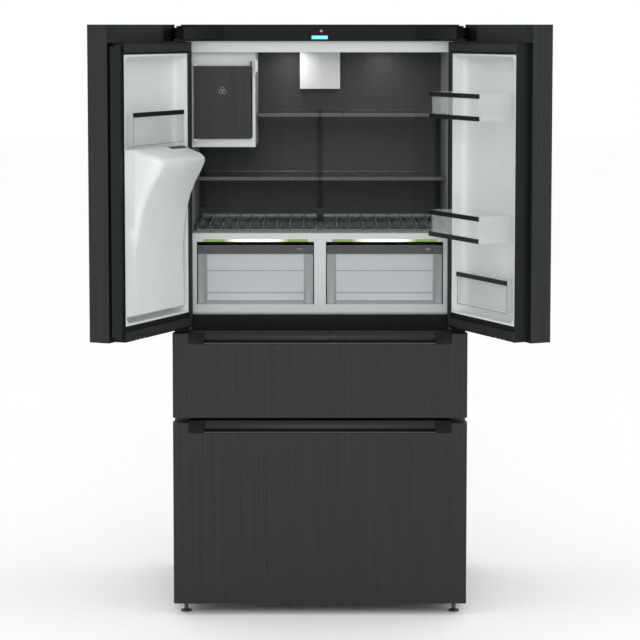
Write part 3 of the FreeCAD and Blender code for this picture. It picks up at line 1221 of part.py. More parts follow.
def make_condenser():
    fins = []
    for place in range(size["condenser_fins"]):
        left = f"condenser_left + {place} * condenser_pitch"
        fins.append(block("condenser_fin", (left, f"{left} + condenser_fin"),
                          ("case_back - unit_front", "case_back - unit_back"),
                          ("bench", "bench + condenser_height")))
    tubes = [rod("condenser_tube", "x", ("condenser_left - condenser_end",
                                         f"case_back - condenser_row_front + {row} * condenser_row",
                                         f"bench + condenser_first + {layer} * condenser_rise"),
                 "condenser_tube", "(condenser_fins - 1) * condenser_pitch + 2 * condenser_end")
             for layer in range(size["condenser_layers"]) for row in range(size["condenser_rows"])]
    ROOT.append(fuse("condenser", fins + tubes))
    ROOT.append(tray("drain_pan", ("pan_left", "pan_left + pan_width"),
                     ("machine_front + pan_front", "case_back - pan_back"),
                     ("bench", "bench + pan_height"), "pan_wall", "top"))


def make_fans():
    """The condenser fan in its shroud, and the evaporator fan behind the duct panel."""
    right = "shroud_left + shroud_depth"
    middle = ("case_back - (unit_front + unit_back) / 2", "bench + fan_rise")
    frame = tray("fan_frame", ("shroud_left", right), ("case_back - unit_front", "case_back - unit_back"),
                 ("bench", "bench + shroud_height"), "shroud_sheet", "top")
    window = rod("fan_window", "x", ("shroud_left - past", *middle), "fan_radius + running_gap",
                 "shroud_depth - shroud_sheet + past")
    motor_start = "fan_start + fan_length + seam"
    motor = rod("fan_motor", "x", (motor_start, *middle), "motor_radius", f"{right} - ({motor_start})")
    strut = block("fan_strut", (f"{right} - shroud_sheet", right),
                  ("case_back - unit_front + shroud_sheet / 2", "case_back - unit_back - shroud_sheet / 2"),
                  (f"{middle[1]} - strut_half", f"{middle[1]} + strut_half"))
    ROOT.append(fuse("fan_shroud", [cut("fan_ring", frame, [window]), strut, motor]))
    ROOT.append(fan("condenser_fan", "x", ("fan_start", *middle)))
    ROOT.append(fan("evaporator_fan", "y", ("0", "duct_face + fan_gap", "cold_fan_height")))


def fan(label, axis, start):
    """A hub with flat blades set at an angle, which turns about its own axis."""
    hub = doc.addObject("Part::Cylinder", label + "_hub")
    bind(hub, "Radius", "hub_radius")
    bind(hub, "Height", "fan_length")
    tilt = FreeCAD.Rotation(FreeCAD.Vector(1, 0, 0), size["blade_tilt"])
    lean = math.radians(size["blade_tilt"])
    rise = size["blade_width"] * math.sin(lean) + size["blade_sheet"]
    lift = FreeCAD.Vector(size["blade_start"], -size["blade_width"] * math.cos(lean) / 2,
                          (size["fan_length"] - rise) / 2)
    blades = []
    for place in range(size["blade_count"]):
        blade = doc.addObject("Part::Box", label + "_blade")
        bind(blade, "Length", "fan_radius - blade_start")
        bind(blade, "Width", "blade_width")
        bind(blade, "Height", "blade_sheet")
        turn = FreeCAD.Rotation(FreeCAD.Vector(0, 0, 1), 360 * place / size["blade_count"])
        blade.Placement = FreeCAD.Placement(FreeCAD.Vector(), turn).multiply(FreeCAD.Placement(lift, tilt))
        blades.append(blade)
    item = fuse(label, [hub] + blades)
    item.Placement = FreeCAD.Placement(FreeCAD.Vector(), TURNS[axis])
    for name, text in zip("xyz", start):
        bind(item, f".Placement.Base.{name}", text)
    return item


def make_services():
    """The water connection and the mains inlet on the rear."""
    middle = ("inlet_across", "case_back", "inlet_height")
    stub = rod("water_stub", "y", middle, "inlet_radius", "inlet_reach")
    nut = rod("water_nut", "y", middle, "inlet_radius + nut_rim", "nut_rim")
    socket = tray("power_inlet", ("-socket_middle - socket_width / 2", "-socket_middle + socket_width / 2"),
                  ("case_back", "case_back + inlet_reach"), ("socket_bottom", "socket_bottom + socket_height"),
                  "box_wall", "back")
    ROOT.append(group("service_inlets", [fuse("water_inlet", [stub, nut]), socket]))


make_cabinet()
make_cold_parts()
make_rails()
make_shelves()
make_crisper_module()
make_ice_maker()
make_control_strip()
make_door("left", -1, LEFT)
make_door("right", 1, RIGHT)
make_right_bins()
LEFT.append(group("left_door_bin", flush_bin("left_flush", -1, "left_bin_inset", "left_bin")))
make_shroud()
make_dispenser()
make_mullion()
make_drawers()
make_feet()
make_compressor()
make_condenser()
make_fans()
make_services()
doc.recompute()


# ---------------------------------------------------------------- placing

angle = math.radians(size["open_angle"])
reach = number("pivot_across - free_edge")
inner_reach = number("pivot_across - free_edge - mullion_room")
corners = [(reach, 0), (reach, size["skin_depth"]), (inner_reach, size["inner_depth"])]
foremost = min(size["pivot_depth"] - across * math.sin(angle)
               + (deep - size["pivot_depth"]) * math.cos(angle) for across, deep in corners)
rearmost = number("case_back + inlet_reach")
row = len(DIMENSIONS) + 1
sheet.set(f"A{row}", "shift that centres the footprint on the origin")
sheet.set(f"B{row}", str(round(-(foremost + rearmost) / 2, 1)))
sheet.setAlias(f"B{row}", "setback")
size["setback"] = round(-(foremost + rearmost) / 2, 1)
doc.recompute()


def place_fixed(item):
    """Move a cabinet or drawer piece into the final frame."""
    texts = dict(item.ExpressionEngine)
    before = texts.get(".Placement.Base.y")
    item.setExpression(".Placement.Base.y", f"{before} + dims.setback" if before else "dims.setback")


def place_swung(item, sign):
    """Move a door piece into the final frame, open about its hinge pin."""
    item.Placement = FreeCAD.Placement(FreeCAD.Vector(),
                                       FreeCAD.Rotation(FreeCAD.Vector(0, 0, sign), size["open_angle"]))
    bind(item, ".Placement.Rotation.Angle", "open_angle")
    bind(item, ".Placement.Base.x",
         f"{sign} * (pivot_across * (1 - cos(open_angle)) + pivot_depth * sin(open_angle))")
    bind(item, ".Placement.Base.y",
         f"pivot_depth * (1 - cos(open_angle)) - pivot_across * sin(open_angle) + setback")


for item in ROOT:
    place_fixed(item)
for nodes, sign in ((LEFT, -1), (RIGHT, 1)):
    for item in nodes:
        place_swung(item, sign)
doc.recompute()

failed = [item.Label for item in doc.Objects if {"Invalid", "Error"} & set(item.State)]
if failed:
    raise RuntimeError(f"failed objects: {failed}")
parts = ROOT + LEFT + RIGHT
for item in parts:
    if item.Shape.isNull() or not item.Shape.isValid():
        raise RuntimeError(f"bad shape: {item.Label}")

os.makedirs("parts", exist_ok=True)
for item in parts:
    item.Shape.exportStep(f"parts/{item.Label}.step")
print(len(parts), "parts, setback", size["setback"])
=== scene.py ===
# %% [markdown]
# # A refrigerator with two hinged doors over two drawers
#
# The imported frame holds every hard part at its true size: cabinet, doors, drawers, shelves and hinges.
# This lesson dresses that frame.  First the finishes are mixed and laid on the frame's own parts.  Then
# the parts whose beauty is in their curves, such as the dispenser shroud, the door liners and the clear
# bins, are modelled again on top.  Their boxes are read from the frame, and the smaller measures are
# given in millimetres.

# %% Load the frame
import json
import math

import bmesh
import bpy
from mathutils import Matrix, Vector


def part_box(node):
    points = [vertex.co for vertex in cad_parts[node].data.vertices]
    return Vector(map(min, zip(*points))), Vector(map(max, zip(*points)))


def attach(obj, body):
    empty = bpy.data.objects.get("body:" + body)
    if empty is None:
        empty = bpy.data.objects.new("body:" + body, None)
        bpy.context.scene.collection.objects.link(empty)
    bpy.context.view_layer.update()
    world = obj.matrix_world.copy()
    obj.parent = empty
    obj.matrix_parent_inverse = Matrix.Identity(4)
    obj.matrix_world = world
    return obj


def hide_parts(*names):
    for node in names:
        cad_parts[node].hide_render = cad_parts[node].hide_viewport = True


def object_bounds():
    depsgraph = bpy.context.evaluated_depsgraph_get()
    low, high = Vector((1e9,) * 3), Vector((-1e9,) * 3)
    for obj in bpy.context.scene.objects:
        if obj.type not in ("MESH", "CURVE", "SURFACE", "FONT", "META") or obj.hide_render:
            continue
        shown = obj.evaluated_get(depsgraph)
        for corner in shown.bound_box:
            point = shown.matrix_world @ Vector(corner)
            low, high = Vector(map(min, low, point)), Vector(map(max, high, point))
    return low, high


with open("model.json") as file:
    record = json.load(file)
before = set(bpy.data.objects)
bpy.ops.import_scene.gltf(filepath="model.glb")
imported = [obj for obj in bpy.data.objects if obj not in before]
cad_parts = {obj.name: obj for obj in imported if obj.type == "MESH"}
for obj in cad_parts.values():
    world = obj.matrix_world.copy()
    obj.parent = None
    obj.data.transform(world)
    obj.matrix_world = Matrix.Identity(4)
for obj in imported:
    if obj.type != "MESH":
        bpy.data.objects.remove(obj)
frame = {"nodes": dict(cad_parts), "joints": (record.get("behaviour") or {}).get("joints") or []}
cad_box = [list(corner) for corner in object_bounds()]
print("nodes in the frame:", len(frame["nodes"]))


# %% [markdown]
# ## Where things are
#
# The doors stand open, so their pieces lie at a slant.  It is far easier to model a door piece as if the
# door were shut and swing it open at the end.  The joint in the frame says where each hinge pin is and
# how far the door has turned, so one small matrix per door does the swinging.

# %% Measure the frame
JOINTS = {joint["name"]: joint for joint in frame["joints"]}
MM = 0.001


def door_swing(joint_name):
    """The turn that takes a piece modelled on the shut door to where the open door is."""
    joint = JOINTS[joint_name]
    pin = Vector(joint["pos_m"])
    shut = joint["range_deg"][0]
    turn = Matrix.Rotation(math.radians(-shut), 4, Vector(joint["axis"]))
    return Matrix.Translation(pin) @ turn @ Matrix.Translation(-pin)


SWING = {"left_door": door_swing("left_door_hinge"), "right_door": door_swing("right_door_hinge")}


def shut_box(node, door):
    """The corners of a door's node as it lies when that door is shut."""
    back = SWING[door].inverted()
    spots = [back @ vertex.co for vertex in frame["nodes"][node].data.vertices]
    return (Vector([min(spot[axis] for spot in spots) for axis in range(3)]),
            Vector([max(spot[axis] for spot in spots) for axis in range(3)]))


for door in SWING:
    low, high = shut_box(door + "_shell", door)
    print(door, "shut:", [round(value, 3) for value in (*low, *high)])


# %% [markdown]
# ## Mixing the finishes
#
# A finish is a Principled shader with a little life in it.  One helper makes the shader and sets what is
# the same all over on its own sockets.  Small helpers then add grain, mottling or fine bump from noise
# in Object coordinates, so that the pattern stays on the piece whichever way it is seen.

# %% Helpers for the finishes
def finish(name, colour, roughness, metallic=0.0, **sockets):
    """A material with one Principled shader, and what is the same all over set on its sockets."""
    material = bpy.data.materials.new(name)
    material.use_nodes = True
    shader = material.node_tree.nodes["Principled BSDF"]
    shader.inputs["Base Color"].default_value = (*colour, 1)
    shader.inputs["Roughness"].default_value = roughness
    shader.inputs["Metallic"].default_value = metallic
    for socket, value in sockets.items():
        shader.inputs[socket.replace("_", " ")].default_value = value
    material.diffuse_color = (*colour, 1)
    return material


def noise(material, scale, stretch=(1, 1, 1), detail=3.0, rough=0.5):
    """A noise in Object coordinates, stretched along the axes."""
    nodes, links = material.node_tree.nodes, material.node_tree.links
    place = nodes.new("ShaderNodeTexCoord")
    mapping = nodes.new("ShaderNodeMapping")
    mapping.inputs["Scale"].default_value = stretch
    cloud = nodes.new("ShaderNodeTexNoise")
    cloud.inputs["Scale"].default_value = scale
    cloud.inputs["Detail"].default_value = detail
    cloud.inputs["Roughness"].default_value = rough
    links.new(place.outputs["Object"], mapping.inputs["Vector"])
    links.new(mapping.outputs["Vector"], cloud.inputs["Vector"])
    return cloud.outputs["Fac"]


def spread(material, value, low, high):
    """Map a noise's middle range to low..high."""
    step = material.node_tree.nodes.new("ShaderNodeMapRange")
    step.inputs["From Min"].default_value = 0.3
    step.inputs["From Max"].default_value = 0.7
    step.inputs["To Min"].default_value = low
    step.inputs["To Max"].default_value = high
    material.node_tree.links.new(value, step.inputs["Value"])
    return step.outputs["Result"]


def tint(material, value, dark, light):
    """Colour between dark and light by a noise."""
    ramp = material.node_tree.nodes.new("ShaderNodeValToRGB")
    ramp.color_ramp.elements[0].position = 0.32
    ramp.color_ramp.elements[1].position = 0.68
    ramp.color_ramp.elements[0].color = (*dark, 1)
    ramp.color_ramp.elements[1].color = (*light, 1)
    links = material.node_tree.links
    links.new(value, ramp.inputs["Fac"])
    links.new(ramp.outputs["Color"], material.node_tree.nodes["Principled BSDF"].inputs["Base Color"])


def roughen(material, value, low, high):
    """Vary the roughness by a noise."""
    shader = material.node_tree.nodes["Principled BSDF"]
    material.node_tree.links.new(spread(material, value, low, high), shader.inputs["Roughness"])


def emboss(material, value, strength, distance):
    """Fine relief from a noise."""
    nodes, links = material.node_tree.nodes, material.node_tree.links
    bump = nodes.new("ShaderNodeBump")
    bump.inputs["Strength"].default_value = strength
    bump.inputs["Distance"].default_value = distance
    links.new(value, bump.inputs["Height"])
    links.new(bump.outputs["Normal"], nodes["Principled BSDF"].inputs["Normal"])


print("helpers: finish, noise, spread, tint, roughen, emboss")

# %% [markdown]
# ### Brushed dark steel
#
# The doors and drawer fronts are steel under a dark coat, brushed up and down.  The brushing is a noise
# squeezed hard across the sheet and drawn out along it: it tints the colour, varies the roughness and
# raises hair-fine ridges.

# %% Brushed dark steel
def brushed(name, dark, light, roughness, metallic, along=1.6):
    material = finish(name, light, roughness, metallic, Specular_IOR_Level=0.2)
    hair = noise(material, 1.0, (620, 620, along), 4.0, 0.65)
    broad = noise(material, 1.0, (150, 150, 1.6), 3.0)
    mix = material.node_tree.nodes.new("ShaderNodeMath")
    mix.operation = "MULTIPLY_ADD"
    mix.inputs[1].default_value = 0.45
    blend = material.node_tree.nodes.new("ShaderNodeMath")
    blend.operation = "MULTIPLY"
    blend.inputs[1].default_value = 0.55
    links = material.node_tree.links
    links.new(broad, blend.inputs[0])
    links.new(hair, mix.inputs[0])
    links.new(blend.outputs["Value"], mix.inputs[2])
    tint(material, mix.outputs["Value"], dark, light)
    roughen(material, hair, roughness - 0.06, roughness + 0.08)
    emboss(material, hair, 0.12, 0.0002)
    return material


graphite = brushed("graphite_steel", (0.021, 0.021, 0.021), (0.033, 0.033, 0.033), 0.46, 0.45)
grip_steel = brushed("grip_steel", (0.017, 0.017, 0.017), (0.026, 0.026, 0.026), 0.40, 0.5)
satin_dark = brushed("satin_dark", (0.07, 0.07, 0.07), (0.11, 0.11, 0.11), 0.34, 0.7)
anthracite = brushed("anthracite_panel", (0.050, 0.052, 0.052), (0.066, 0.068, 0.068), 0.5, 0.3)

print("brushed finishes:", len(bpy.data.materials))

# %% [markdown]
# ### Plastics, paint and rubber
#
# Moulded plastic has a faint orange-peel and a very slight unevenness in gloss.  The white liners and
# the pale cabinet frame share one recipe and differ in colour and gloss.  The dark door frame is a
# satin blue-grey, the seals a dull rubber.

# %% Plastics, paint and rubber
def moulded(name, colour, roughness, grain=900.0, relief=0.04, **sockets):
    material = finish(name, colour, roughness, **sockets)
    peel = noise(material, grain, detail=2.0)
    patch = noise(material, 9.0, detail=2.0)
    shade = tuple(channel * 0.965 for channel in colour)
    tint(material, patch, shade, colour)
    roughen(material, patch, roughness - 0.03, roughness + 0.04)
    emboss(material, peel, relief, 0.0003)
    return material


liner_white = moulded("liner_white", (0.64, 0.66, 0.66), 0.40)
filter_white = moulded("filter_white", (0.84, 0.86, 0.855), 0.36)
frame_grey = moulded("frame_grey", (0.48, 0.50, 0.50), 0.40)
wall_grey = moulded("wall_grey", (0.30, 0.32, 0.315), 0.42)
case_paint = moulded("case_paint", (0.048, 0.049, 0.050), 0.42, 400.0, 0.06)
dark_frame = moulded("dark_frame", (0.0055, 0.0078, 0.0085), 0.46, 700.0, 0.06, Specular_IOR_Level=0.2)
black_satin = moulded("black_satin", (0.004, 0.004, 0.0042), 0.38, 800.0, 0.05, Specular_IOR_Level=0.12)
black_dull = moulded("black_dull", (0.012, 0.012, 0.012), 0.6, 600.0, 0.08)
strip_black = moulded("strip_black", (0.008, 0.009, 0.009), 0.34, 900.0, 0.03, Specular_IOR_Level=0.25)
strip_grey = moulded("strip_grey", (0.035, 0.038, 0.038), 0.28, 900.0, 0.03)
post_grey = moulded("post_grey", (0.23, 0.25, 0.255), 0.36)
mark_grey = moulded("mark_grey", (0.20, 0.20, 0.20), 0.4)
seal_rubber = moulded("seal_rubber", (0.014, 0.016, 0.017), 0.62, 500.0, 0.08, Specular_IOR_Level=0.25)
pan_grey = moulded("pan_grey", (0.10, 0.10, 0.10), 0.5)
foam_dull = moulded("foam", (0.30, 0.28, 0.24), 0.9, 300.0, 0.4)

print("with the moulded ones:", len(bpy.data.materials))

# %% [markdown]
# ### Glass, clear plastic and metal
#
# The shelves are real glass: a Principled shader with full transmission.  Thin clear and frosted
# mouldings read better as a pale gloss laid over what is behind them, so they are partly see-through by
# their alpha instead.  The black strip is glossy black glass.  Zinc-plated sheet gets the soft spangle
# of galvanised steel from a Voronoi pattern.

# %% Glass, clear plastic and metal
def clear(name, colour, roughness, ior):
    material = finish(name, colour, roughness, Transmission_Weight=1.0, IOR=ior)
    emboss(material, noise(material, 14.0, detail=1.0), 0.02, 0.002)
    return material


def thin(name, colour, roughness, see_through):
    """A thin moulding: pale gloss over what is behind it, with faint flow marks."""
    material = finish(name, colour, roughness, Alpha=1 - see_through, IOR=1.45)
    flow = noise(material, 22.0, (1, 1, 0.4), 2.0)
    roughen(material, flow, roughness, roughness + 0.06)
    emboss(material, flow, 0.03, 0.001)
    return material


shelf_glass = clear("shelf_glass", (0.82, 0.90, 0.88), 0.02, 1.5)
clear_plastic = thin("clear_plastic", (0.76, 0.84, 0.83), 0.05, 0.89)
# Pale, nearly opaque plastic for the rack ridges: a painted highlight.
ridge_highlight_clear = thin("ridge_highlight_clear", (0.80, 0.88, 0.86), 0.08, 0.30)
rack_clear = thin("rack_clear", (0.13, 0.17, 0.165), 0.10, 0.30)
edge_shade = thin("edge_shade", (0.22, 0.25, 0.25), 0.2, 0.25)
rack_shade = thin("rack_shade", (0.030, 0.042, 0.040), 0.2, 0.10)
frosted = thin("frosted_box", (0.50, 0.53, 0.55), 0.30, 0.45)
frosted_pane = thin("frosted_pane", (0.52, 0.54, 0.565), 0.34, 0.26)
black_glass = finish("black_glass", (0.005, 0.005, 0.005), 0.26, Specular_IOR_Level=0.06)
emboss(black_glass, noise(black_glass, 5.0, detail=1.0), 0.01, 0.002)
cold_alloy = brushed("cold_alloy", (0.55, 0.56, 0.57), (0.70, 0.71, 0.72), 0.4, 1.0, 12)
bracket_paint = moulded("bracket_paint", (0.008, 0.008, 0.008), 0.45, Specular_IOR_Level=0.3)
enamel = moulded("enamel", (0.010, 0.010, 0.011), 0.28, 200.0, 0.05, Coat_Weight=0.3)


def spangled(name):
    """Galvanised sheet: flat crystals of slightly different brightness."""
    material = finish(name, (0.5, 0.51, 0.52), 0.42, 0.85)
    nodes, links = material.node_tree.nodes, material.node_tree.links
    place = nodes.new("ShaderNodeTexCoord")
    cells = nodes.new("ShaderNodeTexVoronoi")
    cells.inputs["Scale"].default_value = 240
    links.new(place.outputs["Object"], cells.inputs["Vector"])
    grey = nodes.new("ShaderNodeSeparateColor")
    links.new(cells.outputs["Color"], grey.inputs["Color"])
    tint(material, grey.outputs["Red"], (0.42, 0.43, 0.44), (0.49, 0.50, 0.51))
    roughen(material, grey.outputs["Green"], 0.36, 0.5)
    return material


zinc = spangled("zinc_sheet")
print("with glass and metal:", len(bpy.data.materials))

# %% [markdown]
# ### Light
#
# The lamps simply glow.  The bars over the crispers are white in the middle and turn green towards their
# ends, by how far a point lies from the middle of its own crisper.

# %% Light
def glowing(name, colour, strength):
    material = finish(name, colour, 0.4, Emission_Strength=strength)
    material.node_tree.nodes["Principled BSDF"].inputs["Emission Color"].default_value = (*colour, 1)
    return material


lamp_white = glowing("lamp_white", (1.0, 0.98, 0.94), 32.0)


def crisper_glow():
    """A light bar that is white in the middle of each crisper and turns green towards its ends."""
    material = glowing("crisper_glow", (0.06, 0.10, 0.03), 1.6)
    nodes, links = material.node_tree.nodes, material.node_tree.links
    place = nodes.new("ShaderNodeTexCoord")
    parts = nodes.new("ShaderNodeSeparateXYZ")
    links.new(place.outputs["Object"], parts.inputs["Vector"])
    value = parts.outputs["X"]
    for operation, amount in (("ABSOLUTE", 0), ("SUBTRACT", 0.2), ("ABSOLUTE", 0), ("DIVIDE", 0.165)):
        step = nodes.new("ShaderNodeMath")
        step.operation = operation
        step.inputs[1].default_value = amount
        links.new(value, step.inputs[0])
        value = step.outputs["Value"]
    ramp = nodes.new("ShaderNodeValToRGB")
    ramp.color_ramp.elements[0].position = 0.25
    ramp.color_ramp.elements[0].color = (1.0, 1.0, 0.95, 1)
    ramp.color_ramp.elements[1].position = 0.62
    ramp.color_ramp.elements[1].color = (0.075, 0.14, 0.03, 1)
    links.new(value, ramp.inputs["Fac"])
    links.new(ramp.outputs["Color"], nodes["Principled BSDF"].inputs["Emission Color"])
    return material


lamp_green = crisper_glow()
display_cyan = glowing("display_cyan", (0.04, 0.45, 0.62), 0.9)
display_pale = glowing("display_pale", (0.45, 0.90, 1.0), 1.0)
print("finishes:", len(bpy.data.materials))

# %% [markdown]
# ## Dressing the frame's own parts
#
# Each node of the frame keeps its exact shape and only swaps its material.

# %% Lay the finishes on the frame
FINISHES = {
    "cabinet_shell": case_paint, "back_panel": zinc, "base_tray": zinc, "insulation_foam": foam_dull,
    "fridge_liner": wall_grey, "drawer_liners": liner_white, "front_crossbars": black_satin,
    "rear_duct_panel": anthracite, "evaporator": cold_alloy, "filter_housing": filter_white,
    "shelf_rails": bracket_paint, "shelf_brackets": bracket_paint, "glass_shelves": shelf_glass,
    "shelf_trims": strip_grey, "bottle_racks": rack_clear, "crisper_frame": frame_grey,
    "crisper_lights": lamp_green, "left_crisper_box": frosted, "right_crisper_box": frosted,
    "left_crisper_trim": strip_grey, "right_crisper_trim": strip_grey, "ice_maker_housing": frame_grey,
    "ice_bin": clear_plastic, "ice_maker_door": graphite, "control_panel": black_glass,
    "door_hinges": bracket_paint, "hinge_covers": black_satin, "left_door_shell": graphite,
    "left_door_frame": dark_frame, "left_door_liner": liner_white, "left_door_gasket": seal_rubber,
    "right_door_shell": graphite, "right_door_frame": dark_frame, "right_door_liner": liner_white,
    "right_door_gasket": seal_rubber, "right_door_bins": clear_plastic, "right_bin_rims": strip_black,
    "left_door_bin": clear_plastic, "dispenser_shroud": liner_white, "dispenser_alcove": black_satin,
    "dispenser_paddle": black_dull, "mullion_bar": dark_frame, "middle_drawer_front": graphite,
    "middle_drawer_handle": grip_steel, "middle_drawer_gasket": seal_rubber,
    "middle_drawer_box": liner_white, "freezer_drawer_front": graphite,
    "freezer_drawer_handle": grip_steel, "freezer_drawer_gasket": seal_rubber,
    "freezer_drawer_box": liner_white, "drawer_runners": zinc, "levelling_feet": satin_dark,
    "rear_rollers": black_dull, "compressor": enamel, "condenser": cold_alloy, "drain_pan": pan_grey,
    "fan_shroud": black_dull, "condenser_fan": black_dull, "evaporator_fan": black_dull,
    "service_inlets": black_dull,
}


def dress(node, material):
    slots = frame["nodes"][node].data.materials
    slots.clear()
    slots.append(material)


for node, material in FINISHES.items():
    dress(node, material)
print("dressed:", len(FINISHES))

# %% [markdown]
# ## A small bench for modelling
#
# Every new piece starts as a primitive of its true size and place and is shaped in edit mode.  The first
# two helpers start a block between two corners and a round bar along an axis.

# %% Start a piece
FRONT, BACK = Vector((0, -1, 0)), Vector((0, 1, 0))
DOWN, UP = Vector((0, 0, -1)), Vector((0, 0, 1))
# Places closer than this, in metres, count as one; a direction closer than this to an axis runs along it.
NEAR, ALONG = 1e-5, 0.9


def start_block(name, low, high):
    """A block between two corners, in edit mode, with nothing else selected."""
    bpy.ops.object.select_all(action="DESELECT")
    low, high = Vector(low), Vector(high)
    bpy.ops.mesh.primitive_cube_add(size=1, location=(low + high) / 2, scale=high - low)
    piece = bpy.context.object
    piece.name = name
    bpy.ops.object.transform_apply(location=True, rotation=True, scale=True)
    bpy.ops.object.mode_set(mode="EDIT")
    return piece


def start_rod(name, middle, radius, length, axis="Z", sides=32):
    """A round bar along an axis, in edit mode."""
    bpy.ops.object.select_all(action="DESELECT")
    turn = {"X": (0, math.pi / 2, 0), "Y": (math.pi / 2, 0, 0), "Z": (0, 0, 0)}[axis]
    bpy.ops.mesh.primitive_cylinder_add(vertices=sides, radius=radius, depth=length, location=middle,
                                        rotation=turn)
    piece = bpy.context.object
    piece.name = name
    bpy.ops.object.transform_apply(location=True, rotation=True, scale=True)
    bpy.ops.object.mode_set(mode="EDIT")
    return piece


print("two ways to start a piece")

# %% [markdown]
# The next helpers select faces, edges or points by where they lie.  A test is a small function of the
# middle of a face and its normal, of the middle of an edge and its direction, or of a point.

# %% Pick by place
def pick(piece, kind, passes):
    """Select what passes a test, among the faces, edges or points of the piece."""
    bpy.ops.mesh.select_mode(type=kind)
    bpy.ops.mesh.select_all(action="DESELECT")
    shape = bmesh.from_edit_mesh(piece.data)
    for part in {"FACE": shape.faces, "EDGE": shape.edges, "VERT": shape.verts}[kind]:
        part.select_set(bool(passes(part)))
    shape.select_flush_mode()
    bmesh.update_edit_mesh(piece.data)


def pick_faces(piece, test):
    pick(piece, "FACE", lambda face: test(face.calc_center_median(), face.normal))


def pick_edges(piece, test):
    def passes(edge):
        start, end = (vertex.co for vertex in edge.verts)
        return test((start + end) / 2, (end - start).normalized())
    pick(piece, "EDGE", passes)


def pick_points(piece, test):
    pick(piece, "VERT", lambda point: test(point.co))


print("three ways to pick: faces, edges and points")

# %% [markdown]
# Most shaping is one of three moves: a face is inset and its middle pressed in, edges that run along an
# axis are rounded, or the whole mesh is cut across by a plane to give it more rows of points.

# %% Shape a piece
def push(*offset):
    """Extrude what is selected."""
    bpy.ops.mesh.extrude_region_move(TRANSFORM_OT_translate={"value": offset})


def press_in(piece, facing, margin, depth):
    """Inset the faces that look one way and press their middle in, or out if the depth is negative."""
    pick_faces(piece, lambda spot, normal: normal.dot(facing) > ALONG)
    bpy.ops.mesh.inset(thickness=margin)
    push(*(-depth * facing))


def round_over(radius, steps):
    """Round the selected edges."""
    bpy.ops.mesh.bevel(offset=radius, segments=steps, affect="EDGES")


def round_edges(piece, axis, radius, steps, where=lambda spot: True):
    """Round the edges that run along an axis, all of them or those whose middle passes a test."""
    way = "XYZ".index(axis)
    pick_edges(piece, lambda spot, along: abs(along[way]) > ALONG and where(spot))
    round_over(radius, steps)


def cut_across(piece, place, normal):
    """Cut the whole mesh by a plane, keeping both sides."""
    bpy.ops.mesh.select_all(action="SELECT")
    bpy.ops.mesh.bisect(plane_co=place, plane_no=normal)


def done(piece):
    """Leave edit mode and hand the piece on."""
    bpy.ops.object.mode_set(mode="OBJECT")
    return piece


print("shaping: press in, round, cut across")

# %% [markdown]
# The last two helpers join solids into one piece and close a piece: a fine bevel, the material, smooth
# shading, the swing of its door and the body it rides, and the frame's nodes that it replaces are hidden.


def join(pieces, name):
    """Several modelled solids become one piece."""
    bpy.ops.object.select_all(action="DESELECT")
    for piece in pieces:
        piece.select_set(True)
    bpy.context.view_layer.objects.active = pieces[0]
    bpy.ops.object.join()
    pieces[0].name = name
    return pieces[0]


def settle(piece, material, body, replaces=(), door=None, bevel=0.0, smooth=35):
    """Close a piece: bevel, material, smooth shading, door swing and body, and hide the nodes it replaces.
    """
    bpy.ops.object.mode_set(mode="OBJECT")
    bpy.ops.object.select_all(action="DESELECT")
    piece.select_set(True)
    bpy.context.view_layer.objects.active = piece
    if bevel:
        softer = piece.modifiers.new("fine_edges", "BEVEL")
        softer.width = bevel
        softer.segments = 2
        softer.limit_method = "ANGLE"
        bpy.ops.object.modifier_apply(modifier=softer.name)
    piece.data.materials.clear()
    piece.data.materials.append(material)
    bpy.ops.object.shade_smooth_by_angle(angle=math.radians(smooth))
    if door:
        piece.data.transform(SWING[door])
    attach(piece, body)
    if replaces:
        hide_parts(*replaces)
    print(f"{piece.name}: {len(piece.data.polygons)} faces on {body}")


# %% [markdown]
# ## Door liners
#
# The white inside of a door is one vacuum-formed sheet: a rim that stands a little proud, then walls
# that dive into a deep pan with generous round corners.  The rounding is what makes it look moulded.
# It starts as a block, the open side is inset and pushed in, and the corners are bevelled twice: first
# the four upright corners, then the crease where the walls meet the floor.

# %% Door liners
LINER_DEPTH = 42.2 * MM


def door_liner(door):
    low, high = shut_box(door + "_liner", door)
    rim = 6 * MM
    floor_y = high.y - LINER_DEPTH
    piece = start_block(door + "_moulded_liner", low, high)
    press_in(piece, BACK, rim, LINER_DEPTH)
    round_edges(piece, "Y", 24 * MM, 6, lambda spot: low.x + rim / 2 < spot.x < high.x - rim / 2)
    pick_edges(piece, lambda spot, along: abs(spot.y - floor_y) < NEAR)
    round_over(16 * MM, 5)
    settle(piece, liner_white, door, [door + "_liner"], door, 0.8 * MM, 50)


for door in SWING:
    door_liner(door)

# %% [markdown]
# ## The dispenser shroud
#
# A soft bulge fills the left door below its bin and hides the ice chute.  At the top it stands out like
# a nose, and below it falls back in one long hollow curve until it is level with the door.  A block is
# cut across at many heights and widths.  Each point of its outer side then moves out by one curve of the
# height times one of the width: the first gives the profile, the second the rounded upright edges.

# %% Dispenser shroud
# How far the curve stands out at each height, and how it fades towards the sides: places in millimetres,
# shares of the full reach.
RISE = {1160: 0.0, 1212: 0.095, 1246: 0.16, 1281: 0.25, 1315: 0.39, 1349: 0.57, 1372: 0.73,
        1395: 0.88, 1408: 0.96, 1418: 1.0, 1426: 0.985, 1433: 0.92, 1440: 0.81}
WIDTH = [(-396, 0.0), (-394.5, 0.55), (-390, 0.86), (-383, 0.97), (-374, 1.0), (-120, 1.0), (-110, 0.97),
         (-101, 0.88), (-94, 0.70), (-89.5, 0.42), (-88, 0.0)]


def share(curve, place):
    """A value between the points of a curve; 0 beyond its ends."""
    for (start, low_share), (end, high_share) in zip(curve, curve[1:]):
        if start <= place <= end:
            return low_share + (high_share - low_share) * (place - start) / (end - start)
    return 0.0


